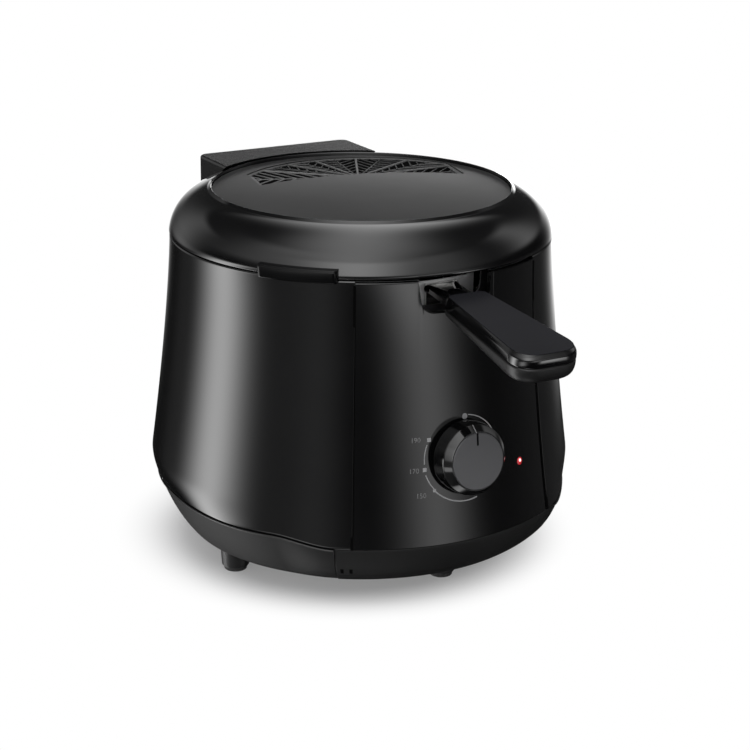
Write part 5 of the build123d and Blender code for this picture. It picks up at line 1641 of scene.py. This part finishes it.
@dataclass
class Studio:
    """Pale floor, soft lamps, reflector cards and the camera.

    The camera stands at an azimuth and a pitch from a point on the pot's axis and is rolled a little.
    """

    axis: PotAxis
    target_z: float = 103.3 * MM
    azimuth: float = -29.0
    pitch: float = 0.3241
    roll: float = -0.0091
    distance: float = 1202.6 * MM
    focal_pixels: float = 2000.0
    offset_pixels: float = 15.4
    image_pixels: float = 750.0
    floor_half: float = 9.0
    floor_tone: Colour = (0.93, 0.93, 0.93)
    floor_clear: tuple[float, float] = (0.095, 0.145)
    floor_share: tuple[float, float] = (0.22, 1.0)
    shadow_back: float = 18.0 * MM
    world_tone: Colour = (0.5, 0.5, 0.505)
    dome_radius: float = 8.0
    dome_level: float = 0.015
    cards: tuple[Card | Strip, ...] = (
        Card(-107.0, 11.0, -62.0, -2.0, 7.0, 2.0, 0.6),
        Card(-152.0, 9.0, -30.0, -1.0, 0.08),
        Card(-72.0, 17.0, -70.0, -1.0, 0.22),
        Card(-50.0, 9.0, -30.0, -1.0, 0.25),
        Card(26.1, 13.0, -17.0, -2.0, 1.75, 3.0, 1.9),
        Card(26.1, 11.0, -17.0, -11.0, 1.0, 2.0, 1.9),
        Card(33.0, 8.0, -24.0, -15.0, 5.0, 2.0),
        Card(-61.0, 14.0, -26.0, -15.5, 3.0, 1.5),
        Card(85.0, 28.0, -30.0, -8.0, 0.06, 5.0),
        Card(-30.0, 34.0, -86.0, -68.0, 3.0),
        Strip(-32.0, 3.0),
        Card(-32.0, 22.0, 1.0, 32.0, 1.6, 4.0),
        Card(-85.0, 22.0, 12.0, 50.0, 0.8, 6.0),
        Card(20.0, 14.0, 0.0, 38.0, 0.6, 4.0),
        Card(87.0, 11.0, 7.0, 40.0, 0.9, 4.0),
        Card(-156.0, 13.0, -8.0, 30.0, 0.55, 3.0),
        Card(143.0, 12.0, -14.0, 7.0, 4.0, 4.0),
        Card(-29.0, 80.0, 4.0, 95.0, 0.18, 4.0),
    )

    def build(self) -> None:
        """Make the floor, the dome of cards, the world, the lamp and the camera."""
        self._floor()
        self._dome()
        self._world()
        self._lamp("overhead", -25.0, 74.0, 1.9, (1.7, 1.7), 28.0)
        self._camera()

    def _target(self) -> Vector:
        """Point that the camera and the lamps look at."""
        return Vector((0.0, self.axis.y, self.target_z))

    def _seen(self, tree: bpy.types.NodeTree) -> bpy.types.NodeSocket:
        """Socket that is 1 for camera, glossy and transmission rays and 0 for all others.

        Args:
            tree: Nodes that the socket is added to.

        Returns:
            The socket.
        """
        path = tree.nodes.new("ShaderNodeLightPath")
        total = path.outputs["Is Camera Ray"]
        for name in ("Is Glossy Ray", "Is Transmission Ray"):
            most = tree.nodes.new("ShaderNodeMath")
            most.operation = "MAXIMUM"
            tree.links.new(total, most.inputs[0])
            tree.links.new(path.outputs[name], most.inputs[1])
            total = most.outputs["Value"]
        return total

    def _floor(self) -> None:
        """Large pale floor: it keeps the shadow near the object and clears to white away from it."""
        side = np.linspace(-self.floor_half, self.floor_half, 2)
        across, along = np.meshgrid(side, side)
        floor = surface("studio_floor", np.stack([across, along, np.zeros_like(across)], -1))
        made = bpy.data.materials.new("pale_floor")
        made.use_nodes = True
        tree = made.node_tree
        shader = tree.nodes["Principled BSDF"]
        shader.inputs["Base Color"].default_value = (*self.floor_tone, 1.0)
        shader.inputs["Roughness"].default_value = 0.9
        shader.inputs["Specular IOR Level"].default_value = 0.0
        away = tree.nodes.new("ShaderNodeVectorMath")
        away.operation = "DISTANCE"
        away.inputs[1].default_value = (0.0, self.axis.y + self.shadow_back, 0.0)
        tree.links.new(tree.nodes.new("ShaderNodeTexCoord").outputs["Object"], away.inputs[0])
        clear = tree.nodes.new("ShaderNodeMapRange")
        clear.interpolation_type = "SMOOTHSTEP"
        clear.inputs["From Min"].default_value = self.floor_clear[0]
        clear.inputs["From Max"].default_value = self.floor_clear[1]
        clear.inputs["To Min"].default_value = self.floor_share[0]
        clear.inputs["To Max"].default_value = self.floor_share[1]
        tree.links.new(away.outputs["Value"], clear.inputs["Value"])
        share = tree.nodes.new("ShaderNodeMath")
        share.operation = "MULTIPLY"
        tree.links.new(clear.outputs["Result"], share.inputs[0])
        tree.links.new(self._seen(tree), share.inputs[1])
        white = tree.nodes.new("ShaderNodeEmission")
        mix = tree.nodes.new("ShaderNodeMixShader")
        tree.links.new(share.outputs["Value"], mix.inputs["Fac"])
        tree.links.new(shader.outputs["BSDF"], mix.inputs[1])
        tree.links.new(white.outputs["Emission"], mix.inputs[2])
        tree.links.new(mix.outputs["Shader"], tree.nodes["Material Output"].inputs["Surface"])
        floor.data.materials.append(made)
        floor.visible_glossy = False

    def _dome(self) -> None:
        """Far sphere of cards that only gloss sees, its brightness set by the direction from the pot."""
        azimuth = np.linspace(-180.0, 180.0, 241)[None]
        rise = np.radians(np.linspace(-90.0, 90.0, 241))[:, None]
        middle = self.target_z + self.dome_radius * np.sin(rise)
        dome = surface("studio_dome", self.axis.at(self.dome_radius * np.cos(rise), azimuth, middle))
        points = np.empty(len(dome.data.vertices) * 3)
        dome.data.vertices.foreach_get("co", points)
        across, along, level = points.reshape(-1, 3).T
        turn = np.degrees(np.arctan2(across, self.axis.y - along))
        up = np.degrees(np.arctan2(level - self.target_z, np.hypot(across, along - self.axis.y)))
        glow = self.dome_level + sum(card.glow(turn, up) for card in self.cards)
        dome.data.attributes.new("glow", "FLOAT", "POINT").data.foreach_set("value", glow)
        made = bpy.data.materials.new("reflector_cards")
        made.use_nodes = True
        tree = made.node_tree
        tree.nodes.remove(tree.nodes["Principled BSDF"])
        light = tree.nodes.new("ShaderNodeEmission")
        read = tree.nodes.new("ShaderNodeAttribute")
        read.attribute_name = "glow"
        tree.links.new(read.outputs["Fac"], light.inputs["Strength"])
        tree.links.new(light.outputs["Emission"], tree.nodes["Material Output"].inputs["Surface"])
        dome.data.materials.append(made)
        dome.visible_camera = False
        dome.visible_diffuse = False
        dome.visible_shadow = False
        dome.visible_transmission = False

    def _world(self) -> None:
        """Even grey surround that the camera sees as white."""
        world = bpy.data.worlds.new("studio_surround")
        world.use_nodes = True
        tree = world.node_tree
        back = tree.nodes["Background"]
        tone = tree.nodes.new("ShaderNodeMix")
        tone.data_type = "RGBA"
        tone.inputs["A"].default_value = (*self.world_tone, 1.0)
        tone.inputs["B"].default_value = (1.0, 1.0, 1.0, 1.0)
        tree.links.new(self._seen(tree), tone.inputs["Factor"])
        tree.links.new(tone.outputs["Result"], back.inputs["Color"])
        back.inputs["Strength"].default_value = 1.0
        bpy.context.scene.world = world

    def _lamp(
        self,
        name: str,
        azimuth: float,
        elevation: float,
        distance: float,
        size: tuple[float, float],
        power: float,
    ) -> None:
        """Rectangular lamp that faces the target.

        Args:
            name: The lamp's name.
            azimuth: Degrees from the front, positive towards +X.
            elevation: Degrees above the level.
            distance: Metres from the target.
            size: Width and height in metres.
            power: Watts.
        """
        data = bpy.data.lights.new(name, "AREA")
        data.shape = "RECTANGLE"
        data.size, data.size_y = size
        data.energy = power
        lamp = bpy.data.objects.new(name, data)
        bpy.context.scene.collection.objects.link(lamp)
        turn, rise = math.radians(azimuth), math.radians(elevation)
        out = Vector((math.sin(turn) * math.cos(rise), -math.cos(turn) * math.cos(rise), math.sin(rise)))
        lamp.location = self._target() + out * distance
        lamp.rotation_mode = "QUATERNION"
        lamp.rotation_quaternion = (-out).to_track_quat("-Z", "Y")
        lamp.visible_camera = False
        lamp.visible_glossy = False

    def _camera(self) -> None:
        """Camera at the photograph's angle."""
        data = bpy.data.cameras.new("camera")
        data.sensor_width = 36.0
        data.lens = self.focal_pixels / self.image_pixels * data.sensor_width
        data.shift_x = self.offset_pixels / self.image_pixels
        data.clip_start, data.clip_end = 0.05, 50.0
        camera = bpy.data.objects.new("camera", data)
        bpy.context.scene.collection.objects.link(camera)
        turn = math.radians(self.azimuth)
        sin_p, cos_p = math.sin(self.pitch), math.cos(self.pitch)
        ahead = Vector((-math.sin(turn) * cos_p, math.cos(turn) * cos_p, -sin_p))
        right = Vector((math.cos(turn), math.sin(turn), 0.0))
        above = Vector((-math.sin(turn) * sin_p, math.cos(turn) * sin_p, cos_p))
        across = right * math.cos(self.roll) - above * math.sin(self.roll)
        upward = right * math.sin(self.roll) + above * math.cos(self.roll)
        turned = Matrix((across, upward, -ahead)).transposed().to_4x4()
        turned.translation = self._target() - ahead * self.distance
        camera.matrix_world = turned
        bpy.context.scene.camera = camera


def dress_frame(nodes: dict[str, bpy.types.Object]) -> None:
    """Give each carried-over node its finish.

    Args:
        nodes: The frame's nodes by name.
    """
    for name, node in nodes.items():
        node.data.materials.clear()
        node.data.materials.append(NODE_FINISHES[name].material())
        LOG.info("dressed %s in %s", name, NODE_FINISHES[name].name)


def main() -> None:
    """Load the frame, dress it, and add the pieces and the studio."""
    logging.basicConfig(level=logging.INFO, format="%(name)s: %(message)s")
    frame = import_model()
    bpy.context.scene.view_settings.view_transform = "Standard"
    low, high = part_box("lid_disc")
    axis = PotAxis((low.y + high.y) / 2.0)
    dress_frame(frame["nodes"])
    HousingWall(axis).build()
    panel = FrontPanel(axis)
    panel.build()
    DialPrint(panel).build()
    Lamp(panel).build()
    Knob(axis).build()
    Lid(axis).build()
    VentFan(axis).build()
    Handle(axis).build()
    WireBasket(axis).build()
    Studio(axis).build()


if __name__ == "__main__":
    main()
